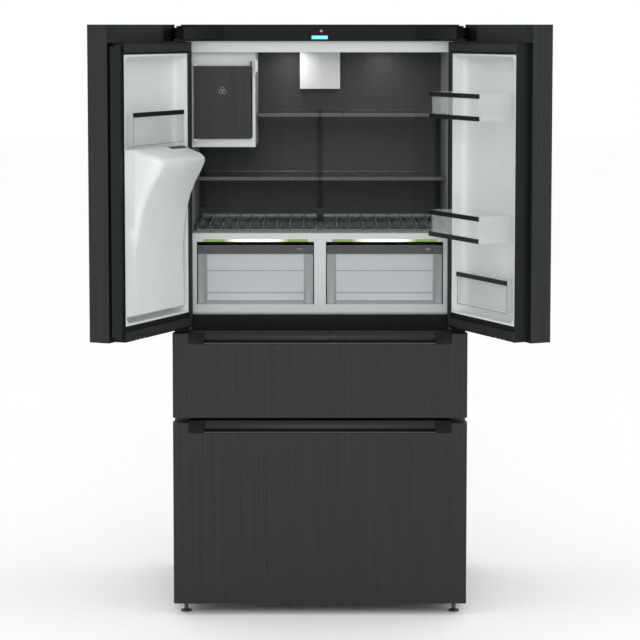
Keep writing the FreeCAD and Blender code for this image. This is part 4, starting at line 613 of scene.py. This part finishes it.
def dispenser_shroud():
    low, high = shut_box("dispenser_shroud", "left_door")
    liner_low, liner_high = shut_box("left_door_liner", "left_door")
    face_y = liner_high.y
    ledge = 26 * MM
    side_gap = 6.5 * MM
    bottom = liner_low.z + ledge
    reach = high.y - face_y
    piece = start_block("dispenser_shroud_moulding", (low.x, low.y, bottom),
                        (liner_high.x - side_gap, face_y, high.z))
    for height in RISE:
        cut_across(piece, (0, 0, height * MM), UP)
    for across in WIDTH[1:]:
        cut_across(piece, (across[0] * MM, 0, 0), (1, 0, 0))
    done(piece)
    heights = [(bottom / MM, 0.0)] + [(height, RISE[height]) for height in RISE] + [(high.z / MM, 0.0)]
    for vertex in piece.data.vertices:
        if vertex.co.y > face_y - NEAR:
            lift = share(heights, vertex.co.z / MM) * share(WIDTH, vertex.co.x / MM)
            vertex.co.y += reach * lift
    settle(piece, liner_white, "left_door", ["dispenser_shroud"], "left_door", 0, 60)
    return low, face_y


SHROUD_LOW, DOOR_FACE = dispenser_shroud()


# %% [markdown]
# On top of the nose a low collar stands round the dark mouth of the ice chute, a shallow black block that
# is painted shade for the chute's hollow.  Both are blocks whose top is pressed in, tipped to lie on the
# slope.

# %% Chute collar and mouth
def chute():
    """The collar and the mouth inside it, modelled level and then tipped."""
    slope = math.radians(-18)
    middle = Vector((SHROUD_LOW.x + 64 * MM, DOOR_FACE + 15 * MM, 1455.2 * MM))
    half = Vector((56 * MM, 11 * MM, 4 * MM))
    tip = Matrix.Translation(middle) @ Matrix.Rotation(slope, 4, "X") @ Matrix.Translation(-middle)
    collar = start_block("chute_collar", middle - half, middle + half)
    press_in(collar, UP, 3.5 * MM, 1.2 * MM)
    round_edges(collar, "Z", 5 * MM, 4)
    done(collar).data.transform(tip)
    settle(collar, liner_white, "left_door", (), "left_door", 0.6 * MM)
    wall, below_rim = 4 * MM, 0.7 * MM
    inner = half - Vector((wall, wall, 0))
    # The mouth is a shallow black block: painted shade for the hollow of the chute.
    mouth = start_block("chute_mouth", middle - inner, middle + inner - Vector((0, 0, below_rim)))
    press_in(mouth, UP, 2 * MM, 0.3 * MM)
    done(mouth).data.transform(tip)
    settle(mouth, black_dull, "left_door", (), "left_door")


chute()

# %% [markdown]
# ## Door bins
#
# The bins are thin clear mouldings with round corners and dark strips along the front.  One function
# makes a bin from its box: the upright corners are rounded and the top is pressed in.  A second makes the
# strips, and a third dark bars, painted shade for the edges that show through a flush bin.

# %% Clear bins
BIN_DEPTH = 41.5 * MM
BIN_WALL = 2.5 * MM
STRIP_TALL = 14 * MM
BIN_TALL = 80 * MM
BIN_BOTTOMS = (1547 * MM, 1187 * MM)
FLUSH_BOTTOM, FLUSH_TOP, FLUSH_WIDE = 974 * MM, 1073 * MM, 316 * MM
# How far the front of a flush bin, its edges and its strip lie behind the liner's rim.
FLUSH_SETBACK, EDGE_SETBACK, STRIP_THICK = 4.3 * MM, 3.6 * MM, 4 * MM


def clear_bin(name, low, high, corner):
    """An open bin with rounded upright corners."""
    piece = start_block(name, low, high)
    round_edges(piece, "Z", corner, 5)
    press_in(piece, UP, BIN_WALL, high[2] - low[2] - BIN_WALL)
    return done(piece)


def dark_strip(name, low, high):
    """A slim bar with a shallow finger groove along its front."""
    piece = start_block(name, low, high)
    press_in(piece, BACK, 2 * MM, 0.6 * MM)
    round_edges(piece, "X", 1 * MM, 2, lambda spot: spot.y > high[1] - 10 * NEAR)
    return done(piece)


def bin_edges(name, door, low, high):
    """Dark bars round a bin's front, painted shade for the edges seen through it: two uprights and a sill.
    """
    wide, deep = 2 * MM, 1 * MM
    # The bars are in edge_shade: painted shade along the bin's edges.
    bars = (((low[0], low[2]), (low[0] + wide, high[2])), ((high[0] - wide, low[2]), (high[0], high[2])),
            ((low[0], low[2]), (high[0], low[2] + wide)))
    made = []
    for (left, bottom), (right, top) in bars:
        bar = start_block("bar", (left, high[1] - deep, bottom), (right, high[1], top))
        bpy.ops.mesh.select_all(action="SELECT")
        bpy.ops.mesh.bevel(offset=0.3 * MM, segments=2, affect="EDGES")
        made.append(done(bar))
    settle(join(made, name), edge_shade, door, (), door)


def right_bins():
    """Two bins that stand out and one flush bin, with their strips."""
    liner_low, liner_high = shut_box("right_door_liner", "right_door")
    bin_low, bin_high = shut_box("right_door_bins", "right_door")
    rim_high = shut_box("right_bin_rims", "right_door")[1]
    back = liner_high.y - BIN_DEPTH
    near, far = bin_low.x, bin_high.x
    bins, strips = [], []
    for bottom in BIN_BOTTOMS:
        bins.append(clear_bin("clear_bin", (near, back, bottom), (far, bin_high.y, bottom + BIN_TALL),
                              14 * MM))
        for low in (bottom, bottom + BIN_TALL - STRIP_TALL):
            strips.append(dark_strip("strip", (near, rim_high.y - 3.7 * MM, low),
                                     (far, rim_high.y, low + STRIP_TALL)))
    near = liner_low.x + 51.7 * MM
    far = near + FLUSH_WIDE
    bins.append(clear_bin("flush_bin", (near, back, FLUSH_BOTTOM),
                          (far, liner_high.y - FLUSH_SETBACK, FLUSH_TOP), 6 * MM))
    strips.append(dark_strip("strip", (near, liner_high.y - STRIP_THICK, FLUSH_TOP - STRIP_TALL),
                             (far, liner_high.y, FLUSH_TOP)))
    settle(join(bins, "right_clear_bins"), clear_plastic, "right_door",
           ["right_door_bins"], "right_door")
    settle(join(strips, "right_bin_strips"), strip_black, "right_door",
           ["right_bin_rims"], "right_door")
    bin_edges("right_flush_bin_edges", "right_door", (near, back, FLUSH_BOTTOM),
              (far, liner_high.y - EDGE_SETBACK, FLUSH_TOP - STRIP_TALL))


def left_bin():
    """The one flush bin of the left door."""
    front = shut_box("left_door_liner", "left_door")[1].y
    low, high = shut_box("left_door_bin", "left_door")
    back = front - BIN_DEPTH
    box = clear_bin("left_clear_bin", (low.x, back, low.z), (high.x, front - FLUSH_SETBACK, high.z), 6 * MM)
    settle(box, clear_plastic, "left_door", ["left_door_bin"], "left_door")
    strip = dark_strip("left_bin_strip", (low.x, front - STRIP_THICK, high.z - STRIP_TALL), high)
    settle(strip, strip_black, "left_door", (), "left_door")
    bin_edges("left_bin_edges", "left_door", (low.x, back, low.z),
              (high.x, front - EDGE_SETBACK, high.z - STRIP_TALL))


right_bins()
left_bin()

# %% [markdown]
# ## Crispers
#
# A crisper is a deep moulded box with a frosted front between two ribbed posts, and a dark strip over
# it that holds the humidity slide.  The box gets a round-cornered hollow.  The window is inset and pressed
# in, and three slim dark bars across it are painted shade for the faint step lines of the front.

# %% Crisper boxes and strips
CRISPER_POST = 29 * MM


def crisper_box(side, body):
    node = f"{side}_crisper_box"
    low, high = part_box(node)
    box = start_block(f"{side}_crisper_moulding", low, high)
    round_edges(box, "Y", 8 * MM, 4, lambda spot: spot.z < (low.z + high.z) / 2)
    press_in(box, UP, 3 * MM, high.z - low.z - 3.5 * MM)
    settle(box, frosted, body, [node])


def crisper_front(side, body):
    """The frosted window, dark lines across it painted as the shade of its steps, and the posts beside it.
    """
    node = f"{side}_crisper_box"
    low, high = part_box(node)
    left, right = low.x + CRISPER_POST, high.x - CRISPER_POST
    front = start_block(f"{side}_crisper_window", (left, low.y - 1.6 * MM, low.z + 9 * MM),
                        (right, low.y, high.z))
    press_in(front, FRONT, 2.2 * MM, 0.8 * MM)
    settle(front, frosted_pane, body, (), None, 0.4 * MM)
    lines = []
    # Dark bars in edge_shade: painted shade of the steps in the frosted front.
    for share_up, thick in ((0.66, 1.6), (0.22, 2.2), (0.055, 3.0)):
        height = low.z + (high.z - low.z) * share_up
        line = start_block("line", (left, low.y - 2 * MM, height), (right, low.y, height + thick * MM))
        round_edges(line, "X", 0.4 * MM, 2)
        lines.append(done(line))
    settle(join(lines, f"{side}_crisper_step_shade"), edge_shade, body)
    posts = []
    wide = CRISPER_POST - 1.2 * MM
    for left in (low.x, high.x - wide):
        rib = start_block("post", (left, low.y - 2.4 * MM, low.z), (left + wide, low.y, high.z))
        press_in(rib, FRONT, 3 * MM, 0.9 * MM)
        posts.append(done(rib))
    settle(join(posts, f"{side}_crisper_posts"), post_grey, body, (), None, 0.5 * MM)


def crisper_strip(side, body):
    """The dark strip over the box and its humidity slide."""
    node = f"{side}_crisper_trim"
    low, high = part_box(node)
    strip = start_block(f"{side}_crisper_strip", low, high)
    press_in(strip, FRONT, 2.4 * MM, 1 * MM)
    round_edges(strip, "X", 1 * MM, 2, lambda spot: spot.y < low.y + 10 * NEAR)
    settle(strip, strip_grey, body, [node])
    margin = 8 * MM
    slide = start_block(f"{side}_humidity_slide", (high.x - 52 * MM, low.y - 1.2 * MM, low.z + margin),
                        (high.x - 30 * MM, low.y + 3 * MM, high.z - margin))
    round_edges(slide, "Y", 4 * MM, 4)
    settle(slide, satin_dark, body, (), None, 0.5 * MM)


for side in ("left", "right"):
    for make in (crisper_box, crisper_front, crisper_strip):
        make(side, f"{side}_crisper")

# %% [markdown]
# ## Bottle racks
#
# Each rack is one clear sheet pressed into round hollows.  A hollow is the lowest slice of a wide open
# tube, cut off by a level plane; the slices meet in sharp ridges, are welded there and then get the
# thickness of the sheet.

# %% Bottle racks
RACK_GAP = 10 * MM
HOLLOW_WIDE = 42 * MM
TUBE_SIDES = 360


def rack_pitch(reach):
    """How many hollows fit between the middle gap and the side, and how far apart they lie."""
    hollows = round((reach - RACK_GAP) / HOLLOW_WIDE)
    return hollows, (reach - RACK_GAP) / hollows


def bottle_racks():
    low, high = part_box("bottle_racks")
    wall = 3 * MM
    hollows, pitch = rack_pitch(high.x)
    sag = high.z - low.z - wall
    radius = (pitch ** 2 / 4 + sag ** 2) / (2 * sag)
    made = []
    for sign in (-1, 1):
        for place in range(hollows):
            middle = (sign * (RACK_GAP + pitch * (place + 0.5)), (low.y + high.y) / 2,
                      low.z + wall / 2 + radius)
            bpy.ops.object.select_all(action="DESELECT")
            bpy.ops.mesh.primitive_cylinder_add(vertices=TUBE_SIDES, radius=radius, depth=high.y - low.y,
                                                end_fill_type="NOTHING", location=middle,
                                                rotation=(math.pi / 2, 0, 0))
            bpy.ops.object.transform_apply(location=True, rotation=True, scale=True)
            bpy.ops.object.mode_set(mode="EDIT")
            bpy.ops.mesh.select_all(action="SELECT")
            bpy.ops.mesh.bisect(plane_co=(0, 0, high.z - wall / 2), plane_no=UP, clear_outer=True)
            made.append(done(bpy.context.object))
    racks = join(made, "clear_bottle_racks")
    bpy.ops.object.mode_set(mode="EDIT")
    bpy.ops.mesh.select_all(action="SELECT")
    bpy.ops.mesh.remove_doubles(threshold=0.6 * MM)
    bpy.ops.mesh.normals_make_consistent(inside=False)
    done(racks)
    sheet = racks.modifiers.new("sheet", "SOLIDIFY")
    sheet.thickness = wall
    sheet.offset = 0
    bpy.ops.object.modifier_apply(modifier=sheet.name)
    settle(racks, rack_clear, "cabinet", ["bottle_racks"], None, 0, 50)


bottle_racks()

# %% [markdown]
# A rounded lip finishes each rack at the front.  At the back a low wall is painted dark as shade, and a
# pale lip on it is a painted highlight.  Slim rounded ridges run over the sharp edges between the hollows,
# where the sheet catches the light; their pale, nearly opaque plastic is a painted highlight.

# %% Rack lips and ridges
def rack_lips():
    low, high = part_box("bottle_racks")
    behind = high.y + 0.4 * MM
    for side, near, far in (("left", -high.x, -RACK_GAP), ("right", RACK_GAP, high.x)):
        # The dark rear wall is painted shade, and the pale rear lip is a painted highlight.
        bars = (("front_lip", low.y - 4 * MM, low.z, 6 * MM, rack_clear),
                ("rear_wall", behind, low.z, high.z - low.z - 2 * MM, rack_shade),
                ("rear_highlight_lip", behind, high.z - 2 * MM, 2 * MM, liner_white))
        for name, front, bottom, tall, material in bars:
            lip = start_block(f"rack_{name}_{side}", (near, front, bottom),
                              (far, front + 3.4 * MM, bottom + tall))
            round_edges(lip, "X", 0.9 * MM, 2)
            settle(lip, material, "cabinet")


def rack_ridges():
    low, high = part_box("bottle_racks")
    hollows, pitch = rack_pitch(high.x)
    half_wide, tall = 1.3 * MM, 1.8 * MM
    ridges = []
    for sign in (-1, 1):
        for place in range(1, hollows):
            middle = sign * (RACK_GAP + pitch * place)
            ridge = start_block("ridge", (middle - half_wide, low.y, high.z - tall),
                                (middle + half_wide, high.y, high.z))
            round_edges(ridge, "Y", 0.9 * MM, 2, lambda spot: spot.z > high.z - 10 * NEAR)
            ridges.append(done(ridge))
    # The ridges carry a painted highlight in pale plastic.
    settle(join(ridges, "rack_ridges"), ridge_highlight_clear, "cabinet")


rack_lips()
rack_ridges()

# %% [markdown]
# ## Drawer grips
#
# The grip is a brushed bar with a hollow face between two black end blocks, and a thin bright lip runs
# below it where the light catches the edge.  The hollow is made by cutting the front face lengthways
# and pulling the cuts back along an arc.

# %% Drawer grips
def drawer_grip(name):
    node = f"{name}_drawer_handle"
    low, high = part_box(node)
    half, tall, deep, hollow = 358 * MM, 25 * MM, 20 * MM, 5 * MM
    front = low.y + 1.5 * MM
    bar = start_block(f"{name}_grip_bar", (-half, front, high.z - tall), (half, front + deep, high.z))
    rows = 6
    for row in range(1, rows):
        cut_across(bar, (0, 0, high.z - tall * row / rows), UP)
    for row in range(1, rows):
        height = high.z - tall * row / rows
        pick_points(bar, lambda spot: abs(spot.z - height) < NEAR and spot.y < front + NEAR)
        bpy.ops.transform.translate(value=(0, hollow * math.sin(math.pi * row / rows), 0))
    settle(bar, grip_steel, f"{name}_drawer", [node], None, 0.5 * MM, 50)
    blocks = []
    for sign in (-1, 1):
        ends = sorted((sign * (half - 1 * MM), sign * high.x))
        block = start_block("end", (ends[0], low.y, low.z), (ends[1], high.y, high.z))
        press_in(block, FRONT, 1.5 * MM, 0.6 * MM)
        blocks.append(done(block))
    settle(join(blocks, f"{name}_grip_ends"), black_satin, f"{name}_drawer", (), None, 0.7 * MM)
    lip = start_block(f"{name}_grip_lip", (-half, low.y + 1 * MM, low.z + 0.5 * MM),
                      (half, low.y + 12 * MM, low.z + 3 * MM))
    round_edges(lip, "X", 0.8 * MM, 2)
    settle(lip, satin_dark, f"{name}_drawer")


drawer_grip("middle")
drawer_grip("freezer")

# %% [markdown]
# ## Small fittings
#
# A pale trim lies round the opening of the cabinet, so thin that the seals still close on it: one bar
# along the top and one down each side.

# %% Opening trim
def opening_trim():
    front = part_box("cabinet_shell")[0].y
    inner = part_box("rear_duct_panel")
    wide, top, bottom = 436 * MM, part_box("cabinet_shell")[1].z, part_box("front_crossbars")[1].z
    parts = []
    spans = (((-wide, inner[1].z), (wide, top)), ((-wide, bottom), (inner[0].x, inner[1].z)),
             ((inner[1].x, bottom), (wide, inner[1].z)))
    for (left, low_z), (right, high_z) in spans:
        part = start_block("part", (left, front - 0.5 * MM, low_z), (right, front + 0.6 * MM, high_z))
        press_in(part, FRONT, 9 * MM, 0.25 * MM)
        parts.append(done(part))
    settle(join(parts, "opening_trim"), frame_grey, "cabinet")


opening_trim()

# %% [markdown]
# A black block closes the hinge end of the band on top of each door.  It is placed on the front of that
# band, which is found from the points of the door's frame above the liner.

# %% Hinge end caps
BAND_BOTTOM = 1.8
SIGNS = {"left_door": -1, "right_door": 1}


def hinge_cap(door):
    sign = SIGNS[door]
    back = SWING[door].inverted()
    spots = [back @ vertex.co for vertex in frame["nodes"][door + "_frame"].data.vertices]
    face = max(spot.y for spot in spots if spot.z > BAND_BOTTOM)
    ends = sorted((sign * 454 * MM, sign * 388 * MM))
    cap = start_block(door + "_hinge_cap", (ends[0], face - 1 * MM, 1787 * MM),
                      (ends[1], face + 1 * MM, 1826 * MM))
    press_in(cap, BACK, 2 * MM, 0.3 * MM)
    settle(cap, black_satin, door, (), door, 0.3 * MM)


for door in SIGNS:
    hinge_cap(door)

# %% [markdown]
# Each door carries a small steel roller in a black seat on top of its inner frame, and three screws in its
# bottom trim.  A screw is a short rod with its outer face pressed in.

# %% Door rollers and screws
ROLLER_ACROSS, ROLLER_UP = 101 * MM, 1779 * MM
SEAT_BOTTOM, SEAT_TOP = 1771 * MM, 1777 * MM
SCREW_UP = 899 * MM


def door_fittings(door):
    sign = SIGNS[door]
    face = shut_box(door + "_frame", door)[1].y
    across = sign * ROLLER_ACROSS
    roller = start_rod(door + "_roller", (across, face - 24 * MM, ROLLER_UP), 4.5 * MM, 16 * MM, "X")
    pick_faces(roller, lambda spot, normal: abs(normal.x) > ALONG)
    bpy.ops.mesh.inset(thickness=1.5 * MM)
    push(0, 0, 0)
    bpy.ops.transform.resize(value=(1.12, 1, 1))
    settle(roller, cold_alloy, door, (), door, 0.4 * MM)
    seat = start_block(door + "_roller_seat", (across - 14 * MM, face - 30 * MM, SEAT_BOTTOM),
                       (across + 14 * MM, face - 18 * MM, SEAT_TOP))
    round_edges(seat, "Y", 3 * MM, 3, lambda spot: spot.z > SEAT_TOP - 1 * MM)
    settle(seat, black_satin, door, (), door)
    screws = []
    for across in (88, 113, 139):
        place = (sign * across * MM, face + 0.3 * MM, SCREW_UP)
        screw = start_rod("screw", place, 2.6 * MM, 1.6 * MM, "Y", 24)
        press_in(screw, BACK, 1.1 * MM, 0.5 * MM)
        screws.append(done(screw))
    settle(join(screws, door + "_screws"), cold_alloy, door, (), door)


for door in SIGNS:
    door_fittings(door)

# %% [markdown]
# The ice maker's housing has a small latch on its side: a flat bar whose middle is pulled out and rounded.

# %% Ice maker latch
def ice_latch():
    low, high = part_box("ice_maker_housing")
    bow_low, bow_high, end = 1684 * MM, 1720 * MM, 8 * MM
    latch = start_block("ice_maker_latch", (high.x - 1 * MM, low.y + 3 * MM, bow_low - end),
                        (high.x + 2.5 * MM, low.y + 9 * MM, bow_high + end))
    for height in (bow_low, bow_high):
        cut_across(latch, (0, 0, height), UP)
    pick_faces(latch, lambda spot, normal: normal.x > ALONG and bow_low < spot.z < bow_high)
    push(5 * MM, 0, 0)
    round_edges(latch, "Y", 2 * MM, 3, lambda spot: spot.x > high.x + 2 * MM)
    settle(latch, frame_grey, "cabinet")


ice_latch()

# %% [markdown]
# The rear sheet would drum if it were flat, so long beads are pressed into it, and small screws hold it
# round its edge.  A bead is a flat block with round ends whose outer face is inset and pulled out.

# %% Rear sheet
def rear_beads():
    low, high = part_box("back_panel")
    from_side, half_tall = 90 * MM, 14 * MM
    beads = []
    for step in range(5):
        height = low.z + (high.z - low.z) * (0.22 + 0.15 * step)
        bead = start_block("bead", (low.x + from_side, high.y - 0.2 * MM, height - half_tall),
                           (high.x - from_side, high.y + 0.3 * MM, height + half_tall))
        round_edges(bead, "Y", 13 * MM, 6)
        press_in(bead, BACK, 3 * MM, -1.8 * MM)
        bpy.ops.mesh.inset(thickness=2 * MM)
        beads.append(done(bead))
    settle(join(beads, "rear_beads"), zinc, "cabinet", (), None, 0.4 * MM)


def rear_screws():
    low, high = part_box("back_panel")
    from_edge, from_end = 12 * MM, 20 * MM
    rows = [(side, low.z + from_end + share_up * (high.z - low.z - 2 * from_end))
            for side in (low.x + from_edge, high.x - from_edge) for share_up in (0, 0.2, 0.4, 0.6, 0.8, 1)]
    rows += [(across * MM, high.z - from_edge) for across in (-250, 0, 250)]
    screws = []
    for across, height in rows:
        screw = start_rod("screw", (across, high.y + 0.7 * MM, height), 4.5 * MM, 1.6 * MM, "Y", 24)
        press_in(screw, BACK, 2.2 * MM, 0.8 * MM)
        screws.append(done(screw))
    settle(join(screws, "rear_screws"), cold_alloy, "cabinet", (), None, 0.2 * MM)


rear_beads()
rear_screws()

# %% [markdown]
# ## Light, display and small marks
#
# Two round lenses in the roof, each in a pale bezel, wash the rear wall with light.

# %% Roof lights
def roof_lights():
    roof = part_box("rear_duct_panel")[1].z
    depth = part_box("rear_duct_panel")[0].y - 110 * MM
    for name, across in (("left", -0.105), ("right", 0.205)):
        bezel = start_rod(f"{name}_roof_light_bezel", (across, depth, roof - 1.2 * MM), 36 * MM, 2.4 * MM)
        press_in(bezel, DOWN, 6 * MM, 1 * MM)
        settle(bezel, frame_grey, "cabinet", (), None, 0.6 * MM)
        lens = start_rod(f"{name}_roof_light_lens", (across, depth, roof - 2.4 * MM), 28 * MM, 1.8 * MM)
        press_in(lens, DOWN, 8 * MM, -0.5 * MM)
        settle(lens, lamp_white, "cabinet", (), None, 0.6 * MM)


roof_lights()

# %% [markdown]
# The control strip has a lit window with a few plain bars, and a touch mark above it.  They are thin
# pieces that stand just proud of the strip.

# %% Display
def display():
    low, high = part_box("control_panel")
    window = start_block("display_window", (-26 * MM, low.y - 0.4 * MM, high.z - 45 * MM),
                         (24 * MM, low.y + 1 * MM, high.z - 34 * MM))
    round_edges(window, "Y", 1.5 * MM, 3)
    settle(window, display_cyan, "cabinet")
    marks = []
    for place, width in ((-18, 5), (-9, 9), (4, 5), (13, 6)):
        bar = start_block("bar", (place * MM, low.y - 0.7 * MM, high.z - 41.5 * MM),
                          ((place + width) * MM, low.y, high.z - 37.5 * MM))
        bpy.ops.mesh.select_all(action="SELECT")
        bpy.ops.mesh.bevel(offset=0.15 * MM, segments=1, affect="EDGES")
        marks.append(done(bar))
    settle(join(marks, "display_bars"), display_pale, "cabinet")
    place = (4 * MM, low.y - 0.2 * MM, high.z - 20 * MM)
    dial = start_rod("strip_touch_mark", place, 4.2 * MM, 0.8 * MM, "Y")
    pick_faces(dial, lambda spot, normal: normal.y < -0.9)
    bpy.ops.mesh.inset(thickness=1.1 * MM)
    bpy.ops.mesh.inset(thickness=1.1 * MM)
    push(0, 0.3 * MM, 0)
    settle(dial, mark_grey, "cabinet")


display()

# %% [markdown]
# The ice maker's door carries a small mark of three plain hexagons.  A ray from the front finds the
# surface that they lie on.

# %% Mark on the ice maker's door
def front_face(node, across, up):
    """How far forward a node's surface lies at a place, found by a ray from the front."""
    return frame["nodes"][node].ray_cast((across, -3, up), (0, 1, 0))[1].y


def ice_mark():
    across, up = -303 * MM, 1627 * MM
    middle = Vector((across, front_face("ice_maker_door", across, up), up))
    cubes = []
    # Places in millimetres from the middle of the mark.
    for across, up in ((-6, -5.2), (6, -5.2), (0, 5.2)):
        centre = middle + Vector((across * MM, 0, up * MM))
        cube = start_rod("cube", centre, 6.4 * MM, 0.8 * MM, "Y", 6)
        press_in(cube, FRONT, 1.2 * MM, 0.7 * MM)
        cubes.append(done(cube))
    settle(join(cubes, "ice_cube_mark"), mark_grey, "ice_door")


ice_mark()

# %% [markdown]
# ## Camera and light
#
# The camera stands level with the top of the doors and far back, with a long lens, so that the tall
# cabinet stays upright and the tops of the doors show as one straight line.  It tips down a little, and
# a small shift does the rest of the framing.

# %% Camera
LENS, SHIFT = 137.1, -0.1
TIP_DOWN = 5.4256
FAR_BACK = 7.11


def add_camera():
    low, high = Vector(cad_box[0]), Vector(cad_box[1])
    eye = bpy.data.cameras.new("camera")
    eye.lens = LENS
    eye.shift_y = SHIFT
    eye.clip_end = 60
    camera = bpy.data.objects.new("camera", eye)
    camera.location = (0, low.y - FAR_BACK, high.z)
    camera.rotation_euler = (math.radians(90 - TIP_DOWN), 0, 0)
    bpy.context.scene.collection.objects.link(camera)
    bpy.context.scene.camera = camera
    print("camera", [round(value, 3) for value in camera.location])


add_camera()


# %% [markdown]
# The light is a bright, even room: a white world and one broad soft lamp high in front.  The floor is a
# pale sheet that catches the soft shadow under the cabinet.

# %% Floor, world and lamp
def add_floor():
    bpy.ops.mesh.primitive_plane_add(size=60, location=(0, 0, 0))
    floor = bpy.context.object
    floor.name = "studio_floor"
    paper = finish("studio_paper", (0.98, 0.98, 0.98), 0.9)
    tint(paper, noise(paper, 1.5), (0.975, 0.975, 0.975), (0.985, 0.985, 0.985))
    floor.data.materials.append(paper)


def add_world():
    world = bpy.data.worlds.new("studio")
    world.use_nodes = True
    background = world.node_tree.nodes["Background"]
    background.inputs["Color"].default_value = (1, 1, 1, 1)
    background.inputs["Strength"].default_value = 1.0
    bpy.context.scene.world = world


def add_lamp(name, place, aim, size, watts):
    lamp = bpy.data.lights.new(name, "AREA")
    lamp.shape = "DISK"
    lamp.size = size
    lamp.energy = watts
    holder = bpy.data.objects.new(name, lamp)
    holder.location = place
    holder.rotation_euler = (Vector(aim) - Vector(place)).to_track_quat("-Z", "Y").to_euler()
    bpy.context.scene.collection.objects.link(holder)


add_floor()
add_world()
add_lamp("front_lamp", place=(0, -6.0, 3.2), aim=(0, 0, 0.95), size=3.0, watts=120)
bpy.context.scene.view_settings.view_transform = "Standard"
print("floor, white world and one lamp")
